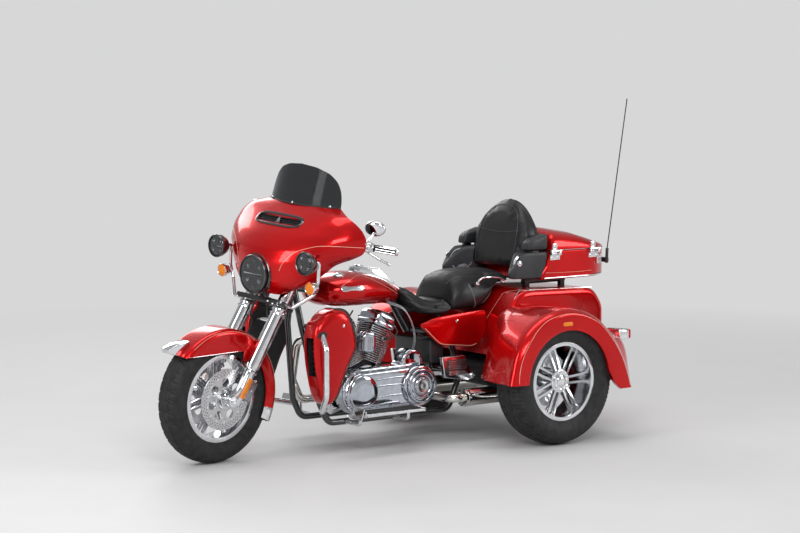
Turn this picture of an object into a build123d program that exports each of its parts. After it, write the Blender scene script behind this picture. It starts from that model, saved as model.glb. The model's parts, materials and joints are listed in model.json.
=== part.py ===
"""Touring trike: one steered front wheel, a V-twin engine, two rear wheels under a wide body.

Frame: +X forward, +Y to the rider's left, +Z up, millimetres. The shapes are drawn with the rear
axle over X = 0 and are moved on export, so that the origin is on the ground under the middle of
the overall length. The front end is drawn straight ahead and turned by STEER_AT_REST on export.
"""

import os
from math import atan, cos, degrees, radians, sin, sqrt, tan

from build123d import *

# ---------------------------------------------------------------- driving dimensions
CENTRE_AHEAD_OF_REAR_AXLE = 626.2  # middle of the overall length
WHEELBASE = 1670.0
TRACK = 1132.0  # between the rear tyres' middle planes
GROUND_CLEARANCE = 130.0

FRONT_TYRE_RADIUS, FRONT_TYRE_WIDTH, FRONT_BEAD_RADIUS = 322.0, 130.0, 203.0
REAR_TYRE_RADIUS, REAR_TYRE_WIDTH, REAR_BEAD_RADIUS = 324.0, 205.0, 190.5
CROWN_FLAT = 0.2  # part of the tread's width that is flat
RIM_LIP_HEIGHT = 12.0
RIM_LIP_THICKNESS = 7.0
RIM_WALL = 10.0
SPOKE_PAIRS = 7
SEAT_GAP = 0.3  # between curved faces that sit on each other

HEAD_RAKE = 26.0  # steering axis from the vertical, degrees
FORK_RAKE = 31.7  # fork legs from the vertical, degrees
TRAIL = 99.0
STEER_AT_REST = 10.0  # the fork is parked turned to the left
AXLE_LEAD = 32.0  # axle ahead of the fork legs' centre line
FORK_HALF_SPACING = 117.0
FORK_SLIDER_RADIUS = 27.0
FORK_COVER_RADIUS = 34.0
FRONT_AXLE_RADIUS = 12.5
RUNNING_CLEARANCE = 0.05
STEM_RADIUS = 15.0
LOWER_CROWN_Z, UPPER_CROWN_Z = 772.0, 962.0
CROWN_THICKNESS = 26.0

FENDER_GAP = 16.0
FENDER_WALL = 4.0
FENDER_HALF_WIDTH = 80.0
FENDER_SKIRT_DEPTH = 78.0
FENDER_SKIRT_LOW_Z = 548.0
FENDER_FRONT_ANGLE, FENDER_TIP_ANGLE, FENDER_REAR_ANGLE = 42.0, 194.0, 206.0

FAIRING_WALL = 10.0
HEADLAMP_RADIUS = 95.0
HEADLAMP_CENTRE = (WHEELBASE - 212, 0.0, 905.0)
HEADLAMP_DEPTH, HEADLAMP_BACK_RADIUS = 55.0, 60.0
SCREEN_RADIUS, SCREEN_THICKNESS, SCREEN_LEAN = 400.0, 5.0, 15.0
PASSING_LAMP_CENTRE = (WHEELBASE - 250, 316.0, 997.0)
PASSING_LAMP_RADIUS, PASSING_LAMP_DEPTH = 58.0, 66.0
TURN_SIGNAL_CENTRE = (WHEELBASE - 295, 316.0, 872.0)
TURN_SIGNAL_RADIUS, TURN_SIGNAL_DEPTH = 33.0, 48.0
LAMP_BAR_RADIUS = 9.0

BAR_RADIUS = 12.7
GRIP_RADIUS = 16.5
BAR_BEND = 35.0

TUBE_RADIUS = 16.0
BACKBONE_RADIUS = 24.0
RAIL_HALF_SPACING = 118.0

CRANK_X, CRANK_Z = 825.0, 300.0
CYLINDER_LEAN = 22.5
CYLINDER_BASE, ROCKER_BASE, ROCKER_TOP = 118.0, 318.0, 398.0
BORE_RADIUS = 56.0
FIN_RADIUS, FIN_THICKNESS, FIN_PITCH = 74.0, 4.5, 11.0
CRANKCASE_RADIUS, CRANKCASE_HALF_WIDTH = 114.0, 92.0
CLUTCH_X, CLUTCH_Z = 572.0, 303.0
PRIMARY_FRONT_X = 912.0
PRIMARY_OUTER_Y, DERBY_OUTER_Y = 212.0, 232.0
DERBY_RADIUS = 88.0

FENDER_OUTER_Y = TRACK / 2 + 124.0
MARKER_PROUD = 5.0
OVERALL_HALF_WIDTH = FENDER_OUTER_Y + MARKER_PROUD
REAR_ARCH_RADIUS = 266.0
REAR_FENDER_WALL = 5.0
FENDER_TAIL_Z, FENDER_FRONT_Z = 264.0, 334.0
TRUNK_HALF_WIDTH = 345.0
FENDER_SECTIONS = [  # Y, crown radius, then X or Z: front low, front high, rear high, tail high, Z, tail low
    (TRUNK_HALF_WIDTH, 371.0, 290.0, 196.0, -250.0, -515.0, 560.0, -518.0),
    (TRUNK_HALF_WIDTH + 105, 371.0, 342.0, 254.0, -255.0, -492.0, 535.0, -500.0),
    (FENDER_OUTER_Y - 90, 371.0, 354.0, 300.0, -262.0, -452.0, 500.0, -474.0),
    (FENDER_OUTER_Y - 28, 369.0, 366.0, 330.0, -300.0, -380.0, 430.0, -436.0),
    (FENDER_OUTER_Y, 345.0, 342.0, 306.0, -280.0, -352.0, 420.0, -410.0),
]
TRUNK_WALL = 6.0
TRUNK_FLOOR_Z, TRUNK_TOP_Z = 422.0, 756.0
TRUNK_FRONT_X, TRUNK_REAR_X = 130.0, -520.0
APRON_LOW_Z = 306.0
DOOR_GAP = 5.5

TOUR_HALF_WIDTH, TOUR_LOW_Z, TOUR_SPLIT_Z = 300.0, 796.0, 945.0
TOUR_FRONT_X, TOUR_REAR_X = -135.0, -668.0
TOUR_FRONT_SLOPE = 0.436
BACKREST_REAR_X = -193.0
TOUR_WALL = 5.0
LID_FRONT_Z = 1061.0
LID_GAP = 1.0
ARM_PAD_Z = 952.0
HINGE_PIN_RADIUS, HINGE_BARREL_RADIUS = 4.0, 7.0
DOOR_HINGE_Z = 441.0
LID_HINGE_Y = TOUR_HALF_WIDTH + 12.0
LID_HINGE_Z = TOUR_SPLIT_Z + 1.0
LID_HINGE_XS = (-228.0, -494.0)

REAR_AXLE_Z = REAR_TYRE_RADIUS


# ---------------------------------------------------------------- the steering axis
HEAD_POINT = Vector(WHEELBASE + TRAIL, 0, 0)
HEAD_DIRECTION = Vector(-sin(radians(HEAD_RAKE)), 0, cos(radians(HEAD_RAKE)))
STEERING_AXIS = Axis(HEAD_POINT, HEAD_DIRECTION)


def front_axle_height():
    """The axle height, straight ahead, that sets the steered tyre's crown on the ground."""
    crown = FRONT_TYRE_WIDTH / 2 * CROWN_FLAT
    turned = Vector(0, 1, 0).rotate(Axis((0, 0, 0), HEAD_DIRECTION), STEER_AT_REST)
    reach = FRONT_TYRE_RADIUS * sqrt(1 - turned.Z**2) + crown * abs(turned.Z)
    low = Vector(WHEELBASE, 0, 0) - HEAD_POINT
    high = Vector(WHEELBASE, 0, 100) - HEAD_POINT
    axis = Axis((0, 0, 0), HEAD_DIRECTION)
    low_z = low.rotate(axis, STEER_AT_REST).Z
    high_z = high.rotate(axis, STEER_AT_REST).Z
    return (reach - low_z) / (high_z - low_z) * 100


FRONT_AXLE_Z = front_axle_height()
FRONT_AXLE = Vector(WHEELBASE, 0, FRONT_AXLE_Z)


def axis_x(z):
    """X of the steering axis at a height."""
    return HEAD_POINT.X - z * tan(radians(HEAD_RAKE))


def leg_x(z):
    """X of the fork legs' centre line at a height."""
    behind = AXLE_LEAD / cos(radians(FORK_RAKE))
    return WHEELBASE - behind - (z - FRONT_AXLE_Z) * tan(radians(FORK_RAKE))


# ---------------------------------------------------------------- shared shapes
def rod(start, end, radius):
    """A round bar between two points."""
    run = Vector(*end) - Vector(*start)
    return Solid.make_cylinder(radius, run.length, Plane(origin=start, z_dir=run))


def pipe(points, radius, bend):
    """A round tube's outside along straight runs joined by arcs."""
    path = FilletPolyline(*points, radius=bend)
    return sweep(Plane(origin=path @ 0, z_dir=path % 0) * Circle(radius), path=path)


def side_shape(outline, low_y, high_y):
    """An outline of (X, Z) points carried from one Y to another."""
    face = make_face(Polyline(*[(x, low_y, z) for x, z in outline], close=True))
    return extrude(face, amount=high_y - low_y, dir=(0, 1, 0))


def front_shape(half_outline, low_x, high_x):
    """A (Y, Z) outline of the left half, from the bottom up, mirrored and carried along X."""
    points = half_outline + [(-y, z) for y, z in reversed(half_outline)]
    face = make_face(Polyline(*[(low_x, y, z) for y, z in points], close=True))
    return extrude(face, amount=high_x - low_x, dir=(1, 0, 0))


def plan_shape(half_outline, low_z, high_z):
    """An (X, Y) outline of the left half, from the front back, mirrored and carried along Z."""
    points = half_outline + [(x, -y) for x, y in reversed(half_outline)]
    face = make_face(Polyline(*[(x, y, low_z) for x, y in points], close=True))
    return extrude(face, amount=high_z - low_z, dir=(0, 0, 1))


def disc(x, z, radius, low_y, high_y):
    """A round plate standing across Y."""
    return Solid.make_cylinder(radius, high_y - low_y, Plane(origin=(x, low_y, z), z_dir=(0, 1, 0)))


def block(low, high):
    """A box between its lowest and highest corners."""
    size = Vector(*high) - Vector(*low)
    return Pos(*((Vector(*low) + Vector(*high)) / 2)) * Box(size.X, size.Y, size.Z)


def cross_section(x, half_width, low_z, high_z, corner):
    """A rounded rectangle across the machine."""
    plane = Plane(origin=(x, 0, (low_z + high_z) / 2), x_dir=(0, 1, 0), z_dir=(1, 0, 0))
    return plane * RectangleRounded(2 * half_width, high_z - low_z, corner)


def both_sides(shape):
    """A shape on the left together with its mirror image on the right."""
    return [shape, mirror(shape, about=Plane.XZ)]


def turned_about_y(profile, centre):
    """A ring from (radius, Y) points, turned about an axle through centre."""
    face = make_face(Polyline(*[(r, y, 0) for r, y in profile], close=True))
    return Pos(*centre) * revolve(face, axis=Axis.Y)


# ---------------------------------------------------------------- wheels
def tyre(centre, radius, width, bead_radius):
    """A solid-section tyre with a rounded crown."""
    half = width / 2
    height = radius - bead_radius
    bead_half = half * 0.68
    profile = [
        (bead_radius + SEAT_GAP, -bead_half),
        (bead_radius + RIM_LIP_HEIGHT + 1, -bead_half),
        (bead_radius + RIM_LIP_HEIGHT + 6, -half * 0.86),
        (bead_radius + 0.5 * height, -half),
        (bead_radius + 0.8 * height, -half * 0.93),
        (bead_radius + 0.95 * height, -half * 0.66),
        (radius, -half * CROWN_FLAT),
    ]
    profile += [(r, -y) for r, y in reversed(profile)]
    return turned_about_y(profile, centre)


def rim(centre, width, bead_radius, hub_radius, hub_span, spoke_y, spoke_end_y, bore, start):
    """A cast wheel: lipped barrel, hub and pairs of bars; Y grows towards the shown face."""
    half = width / 2 * 0.68 + SEAT_GAP
    inner = bead_radius - RIM_WALL
    lip = bead_radius + RIM_LIP_HEIGHT
    barrel = turned_about_y(
        [
            (inner, -half - RIM_LIP_THICKNESS),
            (lip, -half - RIM_LIP_THICKNESS),
            (lip, -half),
            (bead_radius, -half),
            (bead_radius, half),
            (lip, half),
            (lip, half + RIM_LIP_THICKNESS),
            (inner, half + RIM_LIP_THICKNESS),
        ],
        centre,
    )
    hub = disc(centre[0], centre[2], hub_radius, centre[1] + hub_span[0], centre[1] + hub_span[1])
    spokes = []
    for pair in range(SPOKE_PAIRS):
        for side in (-1, 1):
            near = (hub_radius * 0.7, spoke_y)
            far = (inner + RIM_WALL / 2, spoke_end_y)
            bar = side_shape(
                [(near[0], side * 9), (near[0], side * 21), (far[0], side * 25), (far[0], side * 13)],
                -11,
                11,
            )
            slope = degrees(atan((far[1] - near[1]) / (far[0] - near[0])))
            bar = Rot(0, 0, slope) * bar
            bar = Pos(0, near[1] - near[0] * tan(radians(slope)), 0) * bar
            spokes.append(Pos(*centre) * Rot(0, start + 360 / SPOKE_PAIRS * pair, 0) * bar)
    wheel = barrel + hub + spokes
    wheel -= disc(centre[0], centre[2], bore[0], centre[1] + bore[1], centre[1] + bore[2])
    return wheel


FRONT_HUB_HALF = 72.0
DISC_RADIUS, DISC_THICKNESS, DISC_BORE = 150.0, 5.0, 30.0


def front_wheel():
    centre = tuple(FRONT_AXLE)
    rings = []
    for low in (-FRONT_HUB_HALF - DISC_THICKNESS, FRONT_HUB_HALF):
        plate = disc(centre[0], centre[2], DISC_RADIUS, low, low + DISC_THICKNESS)
        plate -= disc(centre[0], centre[2], DISC_BORE, low - 1, low + DISC_THICKNESS + 1)
        for hole in range(SPOKE_PAIRS):
            turn = radians(360 / SPOKE_PAIRS * hole)
            x, z = centre[0] + 82 * sin(turn), centre[2] + 82 * cos(turn)
            plate -= disc(x, z, 22, low - 1, low + DISC_THICKNESS + 1)
        rings.append(plate)
    hub_span = (-FRONT_HUB_HALF, FRONT_HUB_HALF)
    bore = (FRONT_AXLE_RADIUS + RUNNING_CLEARANCE, hub_span[0] - 1, hub_span[1] + 1)
    wheel = rim(centre, FRONT_TYRE_WIDTH, FRONT_BEAD_RADIUS, 46.0, hub_span, 0.0, 0.0, bore, 12.0)
    return {
        "front_tyre": tyre(centre, FRONT_TYRE_RADIUS, FRONT_TYRE_WIDTH, FRONT_BEAD_RADIUS),
        "front_rim": wheel,
        "front_discs": rings,
    }


AXLE_STUB_RADIUS = 16.0
REAR_HUB_SPAN = (-75.0, 47.0)
REAR_BORE_END = 30.0
REAR_HUB_RADIUS = 58.0


def rear_wheel():
    """The left rear wheel; the brake disc is part of its hub."""
    centre = (0.0, TRACK / 2, REAR_AXLE_Z)
    bore = (AXLE_STUB_RADIUS + RUNNING_CLEARANCE, REAR_HUB_SPAN[0] - 1, REAR_BORE_END)
    wheel = rim(
        centre, REAR_TYRE_WIDTH, REAR_BEAD_RADIUS, REAR_HUB_RADIUS, REAR_HUB_SPAN, 37.0, 9.0, bore, 180.0
    )
    brake = disc(0, REAR_AXLE_Z, 140.0, centre[1] + REAR_HUB_SPAN[0], centre[1] + REAR_HUB_SPAN[0] + 7)
    brake -= disc(0, REAR_AXLE_Z, REAR_HUB_RADIUS - 2, centre[1] - 90, centre[1])
    return {
        "rear_tyre": tyre(centre, REAR_TYRE_RADIUS, REAR_TYRE_WIDTH, REAR_BEAD_RADIUS),
        "rear_rim": wheel + brake,
    }


# ---------------------------------------------------------------- steered front end
CROWN_WIDTH = FORK_HALF_SPACING + 52.0
SLIDER_TOP_Z, LEG_STEP_Z = 742.0, 470.0
FORK_TUBE_RADIUS = 30.0
COLLAR_RADIUS = 38.0


def leg_axis_rod(side, low_z, high_z, radius):
    """A piece of a fork leg between two heights."""
    y = side * FORK_HALF_SPACING
    return rod((leg_x(low_z), y, low_z), (leg_x(high_z), y, high_z), radius)


def fork_leg(side):
    """Slider, step, collar and tube of one leg, with the boss that holds the axle."""
    low_z = FRONT_AXLE_Z - 22
    y = side * FORK_HALF_SPACING
    boss = disc(WHEELBASE, FRONT_AXLE_Z, 27, y - 24, y + 24)
    web = side_shape(
        [
            (leg_x(low_z), low_z),
            (WHEELBASE, FRONT_AXLE_Z - 24),
            (WHEELBASE, FRONT_AXLE_Z + 24),
            (leg_x(FRONT_AXLE_Z + 90), FRONT_AXLE_Z + 90),
        ],
        y - 20,
        y + 20,
    )
    leg = leg_axis_rod(side, low_z, LEG_STEP_Z, FORK_SLIDER_RADIUS) + boss + web
    leg += leg_axis_rod(side, LEG_STEP_Z, SLIDER_TOP_Z - 12, FORK_COVER_RADIUS)
    leg += leg_axis_rod(side, SLIDER_TOP_Z - 12, SLIDER_TOP_Z, COLLAR_RADIUS)
    leg += leg_axis_rod(side, SLIDER_TOP_Z, UPPER_CROWN_Z + CROWN_THICKNESS, FORK_TUBE_RADIUS)
    lug_depth = CALIPER_BACK - CALIPER_DEPTH / 2 - AXLE_LEAD
    lug = Pos(-AXLE_LEAD - lug_depth / 2, side * 100, CALIPER_UP) * Box(lug_depth, 12, 60)
    leg += along_leg(lug)
    return leg - disc(WHEELBASE, FRONT_AXLE_Z, FRONT_AXLE_RADIUS, y - 40, y + 40)


def crown_plane(z):
    """A plane square to the steering axis."""
    ahead = (cos(radians(HEAD_RAKE)), 0, sin(radians(HEAD_RAKE)))
    return Plane(origin=(axis_x(z), 0, z), x_dir=ahead, z_dir=HEAD_DIRECTION)


def crown(z):
    """One fork crown plate, reaching from the steering stem to the legs."""
    reach = axis_x(z) - leg_x(z)
    plate = crown_plane(z) * Pos(-reach / 2 - 10, 0) * RectangleRounded(reach + 80, 2 * CROWN_WIDTH, 34)
    return extrude(plate, amount=CROWN_THICKNESS / 2, both=True)


def fork_crowns():
    stem = rod(
        (axis_x(LOWER_CROWN_Z), 0, LOWER_CROWN_Z), (axis_x(UPPER_CROWN_Z), 0, UPPER_CROWN_Z), STEM_RADIUS
    )
    crowns = crown(LOWER_CROWN_Z) + crown(UPPER_CROWN_Z) + stem
    for side in (-1, 1):
        crowns -= leg_axis_rod(side, LOWER_CROWN_Z - 60, UPPER_CROWN_Z + 60, FORK_TUBE_RADIUS)
    return crowns


def front_axle():
    reach = FORK_HALF_SPACING + 30
    return disc(WHEELBASE, FRONT_AXLE_Z, FRONT_AXLE_RADIUS, -reach, reach)


FENDER_INNER = FRONT_TYRE_RADIUS + FENDER_GAP
FENDER_OUTER = FENDER_INNER + FENDER_WALL


def fender_sector(start, end, radius, low_y, high_y):
    """A pie slice about the front axle; angles grow from ahead over the top to behind."""
    points = [(WHEELBASE, FRONT_AXLE_Z)]
    steps = 12
    for step in range(steps + 1):
        turn = radians(start + (end - start) * step / steps)
        points.append((WHEELBASE + radius * cos(turn), FRONT_AXLE_Z + radius * sin(turn)))
    return side_shape(points, low_y, high_y)


def fender_ring(outer, half_width, corner):
    """A full round drum about the front axle with rounded edges."""
    drum = disc(WHEELBASE, FRONT_AXLE_Z, outer, -half_width, half_width)
    rims = drum.edges().filter_by(GeomType.CIRCLE)
    return fillet(rims, corner)


def fender_shell():
    """The full round cover over the tyre, before its ends and edges are cut."""
    drum = fender_ring(FENDER_OUTER, FENDER_HALF_WIDTH, 30)
    return drum - fender_ring(FENDER_INNER, FENDER_HALF_WIDTH - FENDER_WALL, 26)


def front_fender():
    cover = fender_shell()
    cover &= fender_sector(FENDER_FRONT_ANGLE, FENDER_TIP_ANGLE, 3 * FENDER_OUTER, -100, 100)
    lobe_front, lobe_rear, lobe_z = WHEELBASE - 108, WHEELBASE - 200, 498.0
    keep = block((lobe_front, -100, FENDER_SKIRT_LOW_Z), (WHEELBASE + 400, 100, 800))
    keep += block((lobe_rear, -100, lobe_z), (lobe_front, 100, 800))
    keep += block((WHEELBASE - 400, -100, 0), (lobe_rear, 100, 800)) - disc(
        WHEELBASE, FRONT_AXLE_Z, FENDER_OUTER - FENDER_SKIRT_DEPTH, -101, 101
    )
    cover &= keep
    for side in (-1, 1):
        y = side * (FENDER_HALF_WIDTH + 5)
        lug_z = FRONT_AXLE_Z + 214
        cover += block(
            (leg_x(lug_z) - 26, min(y - 7, y + 7), lug_z - 30),
            (leg_x(lug_z) + 20, max(y - 7, y + 7), lug_z + 30),
        )
        cover -= leg_axis_rod(side, lug_z - 200, lug_z + 150, FORK_COVER_RADIUS)
    return cover


def fender_tip():
    """The bright cap on the fender's rear end."""
    cap = fender_shell() & fender_sector(FENDER_TIP_ANGLE, FENDER_REAR_ANGLE, 3 * FENDER_OUTER, -100, 100)
    return cap - disc(WHEELBASE, FRONT_AXLE_Z, FENDER_OUTER - FENDER_SKIRT_DEPTH, -101, 101)


def fender_lamp():
    """A finned lamp on the front fender's nose."""
    turn = radians(FENDER_FRONT_ANGLE)
    x = WHEELBASE + FENDER_OUTER * cos(turn)
    z = FRONT_AXLE_Z + FENDER_OUTER * sin(turn)
    offsets = [(-58, 68), (16, 57), (64, 37), (60, 15), (-8, 0), (-66, 36)]
    body = side_shape([(x + ahead, z + up) for ahead, up in offsets], -30, 30)
    return body - disc(WHEELBASE, FRONT_AXLE_Z, FENDER_OUTER, -100, 100)


CALIPER_BACK, CALIPER_UP = 97.0, 98.0  # centre behind and above the axle, along the leg
CALIPER_DEPTH, CALIPER_LENGTH = 58.0, 100.0


def along_leg(shape):
    """A shape drawn about the axle with Z up the leg, set in place."""
    return Pos(*FRONT_AXLE) * Rot(0, -FORK_RAKE, 0) * shape


def fork_reflectors():
    pieces = []
    for side in (-1, 1):
        strip = Pos(-AXLE_LEAD, side * 142, 86) * Box(22, 18, 104)
        pieces.append(along_leg(strip) - fork_leg(side))
    return pieces


def calipers():
    pieces = []
    for side in (-1, 1):
        body = Pos(-CALIPER_BACK, side * 84, CALIPER_UP) * Box(CALIPER_DEPTH, 44, CALIPER_LENGTH)
        slot_y = side * (FRONT_HUB_HALF + DISC_THICKNESS / 2)
        slot = disc(WHEELBASE, FRONT_AXLE_Z, DISC_RADIUS + 6, slot_y - 8, slot_y + 8)
        pieces.append(along_leg(body) - slot)
    return pieces


FAIRING_SECTIONS = [  # height, half width, then how far behind the axle: front, sides
    (815.0, 120.0, 268.0, 290.0),
    (870.0, 232.0, 234.0, 370.0),
    (938.0, 300.0, 228.0, 419.0),
    (978.0, 338.0, 230.0, 448.0),
    (1012.0, 392.0, 238.0, 513.0),
    (1042.0, 425.0, 250.0, 544.0),
    (1098.0, 436.0, 292.0, 546.0),
    (1141.0, 420.0, 340.0, 537.0),
    (1176.0, 390.0, 385.0, 520.0),
    (1208.0, 335.0, 430.0, 510.0),
    (1235.0, 251.0, 465.0, 546.0),
]


def fairing_section(height, half_width, front_x, side_x, back):
    """A bow across the front with rounder shoulders, closed by a straight line."""
    depth = front_x - side_x
    corner_x, corner_y = side_x + 0.38 * depth, 0.915 * half_width
    shoulder_x, shoulder_y = side_x + 0.66 * depth, 0.74 * half_width
    left = ThreePointArc(
        (side_x, half_width, height), (corner_x, corner_y, height), (shoulder_x, shoulder_y, height)
    )
    nose = ThreePointArc(
        (shoulder_x, shoulder_y, height), (front_x, 0, height), (shoulder_x, -shoulder_y, height)
    )
    right = ThreePointArc(
        (shoulder_x, -shoulder_y, height), (corner_x, -corner_y, height), (side_x, -half_width, height)
    )
    rest = Polyline(
        (side_x, -half_width, height),
        (side_x - back, -half_width, height),
        (side_x - back, half_width, height),
        (side_x, half_width, height),
    )
    return make_face(left + nose + right + rest)


def fairing_volume(inset, back):
    sections = []
    for height, half_width, front_behind, side_behind in FAIRING_SECTIONS:
        front_x, side_x = WHEELBASE - front_behind - inset, WHEELBASE - side_behind - 1
        sections.append(fairing_section(height, half_width - inset, front_x, side_x, back))
    return loft(sections, ruled=True)


def fairing_outer():
    shell = fairing_volume(0, 4)
    hollow = fairing_volume(FAIRING_WALL, 60)
    shell -= Pos(0, 0, -3) * hollow
    lamp = HEADLAMP_CENTRE
    hole = Solid.make_cylinder(
        HEADLAMP_RADIUS, 300, Plane(origin=(lamp[0] - 150, 0, lamp[2]), z_dir=(1, 0, 0))
    )
    return shell - hole


def headlamp():
    lamp = HEADLAMP_CENTRE
    rim_depth = HEADLAMP_DEPTH * 0.7
    back = Plane(origin=(lamp[0] - HEADLAMP_DEPTH, 0, lamp[2]), z_dir=(1, 0, 0))
    bowl = Solid.make_cone(HEADLAMP_BACK_RADIUS, HEADLAMP_RADIUS, HEADLAMP_DEPTH - rim_depth, back)
    return bowl + Solid.make_cylinder(
        HEADLAMP_RADIUS, rim_depth, Plane(origin=(lamp[0] - rim_depth, 0, lamp[2]), z_dir=(1, 0, 0))
    )


def fairing_inner():
    volume = Pos(0, 0, -3) * fairing_volume(FAIRING_WALL, 2)
    return (volume & block((WHEELBASE - 670, -400, 992), (WHEELBASE - 490, 400, 1222))) - handlebar()


def windscreen():
    foot_x, foot_z = WHEELBASE - FAIRING_SECTIONS[-1][2], FAIRING_SECTIONS[-1][0]
    lean = Vector(-sin(radians(SCREEN_LEAN)), 0, cos(radians(SCREEN_LEAN)))
    ahead = Vector(cos(radians(SCREEN_LEAN)), 0, sin(radians(SCREEN_LEAN)))
    plane = Plane(origin=Vector(foot_x, 0, foot_z) - ahead * SCREEN_RADIUS - lean * 150, z_dir=lean)
    shell = Solid.make_cylinder(SCREEN_RADIUS, 500, plane)
    shell -= Solid.make_cylinder(SCREEN_RADIUS - SCREEN_THICKNESS, 500, plane)
    outline = [(-246, foot_z), (-240, 1300), (-212, 1360), (-166, 1400), (-92, 1424), (0, 1430)]
    outline += [(-y, z) for y, z in reversed(outline[:-1])]
    face = make_face(Polyline(*[(foot_x - 200, y, z) for y, z in outline], close=True))
    return shell & extrude(face, amount=260, dir=(1, 0, 0))


def lamp_bar():
    x, y, z = PASSING_LAMP_CENTRE
    low_x, low_y, low_z = TURN_SIGNAL_CENTRE
    back_x = low_x - TURN_SIGNAL_DEPTH - 11
    start = crown_plane(LOWER_CROWN_Z).origin
    arm = pipe(
        [
            (start.X - 18, CROWN_WIDTH, start.Z - 9),
            (start.X - 18, CROWN_WIDTH + 40, start.Z - 9),
            (back_x, y - 26, low_z - 40),
            (back_x, y, low_z + 28),
            (back_x, y, z),
            (x - PASSING_LAMP_DEPTH, y, z),
        ],
        LAMP_BAR_RADIUS,
        16,
    )
    arm += rod((back_x, low_y, low_z), (low_x - TURN_SIGNAL_DEPTH, low_y, low_z), 8)
    return both_sides(arm - fairing_outer())


def passing_lamps():
    x, y, z = PASSING_LAMP_CENTRE
    back = Plane(origin=(x - PASSING_LAMP_DEPTH, y, z), z_dir=(1, 0, 0))
    lamp = Solid.make_cylinder(PASSING_LAMP_RADIUS, PASSING_LAMP_DEPTH, back)
    return both_sides(fillet(lamp.edges().group_by(Axis.X)[0], 30))


def turn_signals():
    x, y, z = TURN_SIGNAL_CENTRE
    back = Plane(origin=(x - TURN_SIGNAL_DEPTH, y, z), z_dir=(1, 0, 0))
    lamp = Solid.make_cylinder(TURN_SIGNAL_RADIUS, TURN_SIGNAL_DEPTH, back)
    return both_sides(fillet(lamp.edges().group_by(Axis.X)[0], 14))


CLAMP_X = WHEELBASE - 408  # the handlebar in its clamp
GRIP_INNER = (CLAMP_X - 266, 345.0, 1049.0)
GRIP_OUTER = (CLAMP_X - 350, 440.0, 1034.0)


def handlebar():
    points = [
        (CLAMP_X, 60, 1002),
        (CLAMP_X - 47, 140, 1060),
        (CLAMP_X - 142, 262, 1066),
        GRIP_INNER,
        GRIP_OUTER,
    ]
    left = pipe(points, BAR_RADIUS, BAR_BEND)
    middle = rod((CLAMP_X, -60, 1002), (CLAMP_X, 60, 1002), BAR_RADIUS)
    riser = block((CLAMP_X - 22, -50, UPPER_CROWN_Z - 14), (CLAMP_X + 22, 50, 1012))
    return middle + both_sides(left) + (riser - crown(UPPER_CROWN_Z))


def grips():
    inner, outer = Vector(*GRIP_INNER), Vector(*GRIP_OUTER)
    run = (outer - inner).normalized()
    grip = rod(outer - run * 118, outer + run * 6, GRIP_RADIUS)
    grip -= rod(inner, outer, BAR_RADIUS)
    return both_sides(grip)


def levers():
    points = [(-232, 318, 1060), (-212, 346, 1046), (-252, 414, 1004), (-288, 450, 980)]
    lever = pipe([(CLAMP_X + behind, y, z) for behind, y, z in points], 6.5, 14)
    return both_sides(lever - handlebar())


def mirrors():
    stalk = rod((CLAMP_X - 137, 430, 1090), (CLAMP_X - 200, 424, 1136), 7)
    head = Pos(CLAMP_X - 204, 424, 1156) * Rot(0, 12, 20) * extrude(
        Plane.YZ * Ellipse(54, 39), amount=12, both=True
    )
    return both_sides(stalk + head - fairing_outer() - fairing_inner())


# ---------------------------------------------------------------- frame and running gear
def head_tube():
    low = LOWER_CROWN_Z + CROWN_THICKNESS / 2 / cos(radians(HEAD_RAKE)) + 4
    high = UPPER_CROWN_Z - CROWN_THICKNESS / 2 / cos(radians(HEAD_RAKE)) - 4
    return (axis_x(low), 0, low), (axis_x(high), 0, high)


RAIL_Z = GROUND_CLEARANCE + TUBE_RADIUS + 4
DOWN_TUBE_X = axis_x(824.0) - 161


def frame_tubes():
    low, high = head_tube()
    neck = rod(low, high, 30)
    backbone = rod((axis_x(850) - 10, 0, 850), BACKBONE_REAR, BACKBONE_RADIUS)
    post = rod(BACKBONE_REAR, (500, 0, 560), BACKBONE_RADIUS)
    frame = neck + backbone + post
    for side in (-1, 1):
        y = side * RAIL_HALF_SPACING
        near, far = min(side * 70, side * 91), max(side * 70, side * 91)
        frame += block((600, near, RAIL_Z), (640, far, 196))
        frame += block((600, min(y, near), RAIL_Z - 8), (640, max(y, far), RAIL_Z + 14))
        frame += pipe(
            [
                (DOWN_TUBE_X, side * 10, 824),
                (DOWN_TUBE_X - 10, side * 60, 640),
                (DOWN_TUBE_X - 78, y, 250),
                (DOWN_TUBE_X - 126, y, RAIL_Z),
                (330, y, RAIL_Z),
                (250, y, 330),
                (330, y, 540),
                (500, side * 20, 560),
            ],
            TUBE_RADIUS,
            60,
        )
        frame += rod((318, y, 520), (TRUNK_FRONT_X + 4, y, 560), TUBE_RADIUS - 3)
        frame += block((TRUNK_FRONT_X, y - 34, 526), (TRUNK_FRONT_X + 8, y + 34, 594))
    frame += disc(250, 330, PIVOT_RADIUS, -PIVOT_REACH, PIVOT_REACH)
    below, above = Vector(*low) - HEAD_DIRECTION * 50, Vector(*high) + HEAD_DIRECTION * 50
    return frame - rod(below, above, STEM_RADIUS + RUNNING_CLEARANCE)


BACKBONE_REAR = (600.0, 0.0, 722.0)
PIVOT_RADIUS, PIVOT_REACH = 14.0, 196.0
AXLE_TUBE_RADIUS = 40.0
HOUSING_END_Y = TRACK / 2 + REAR_HUB_SPAN[0] - 6


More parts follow.
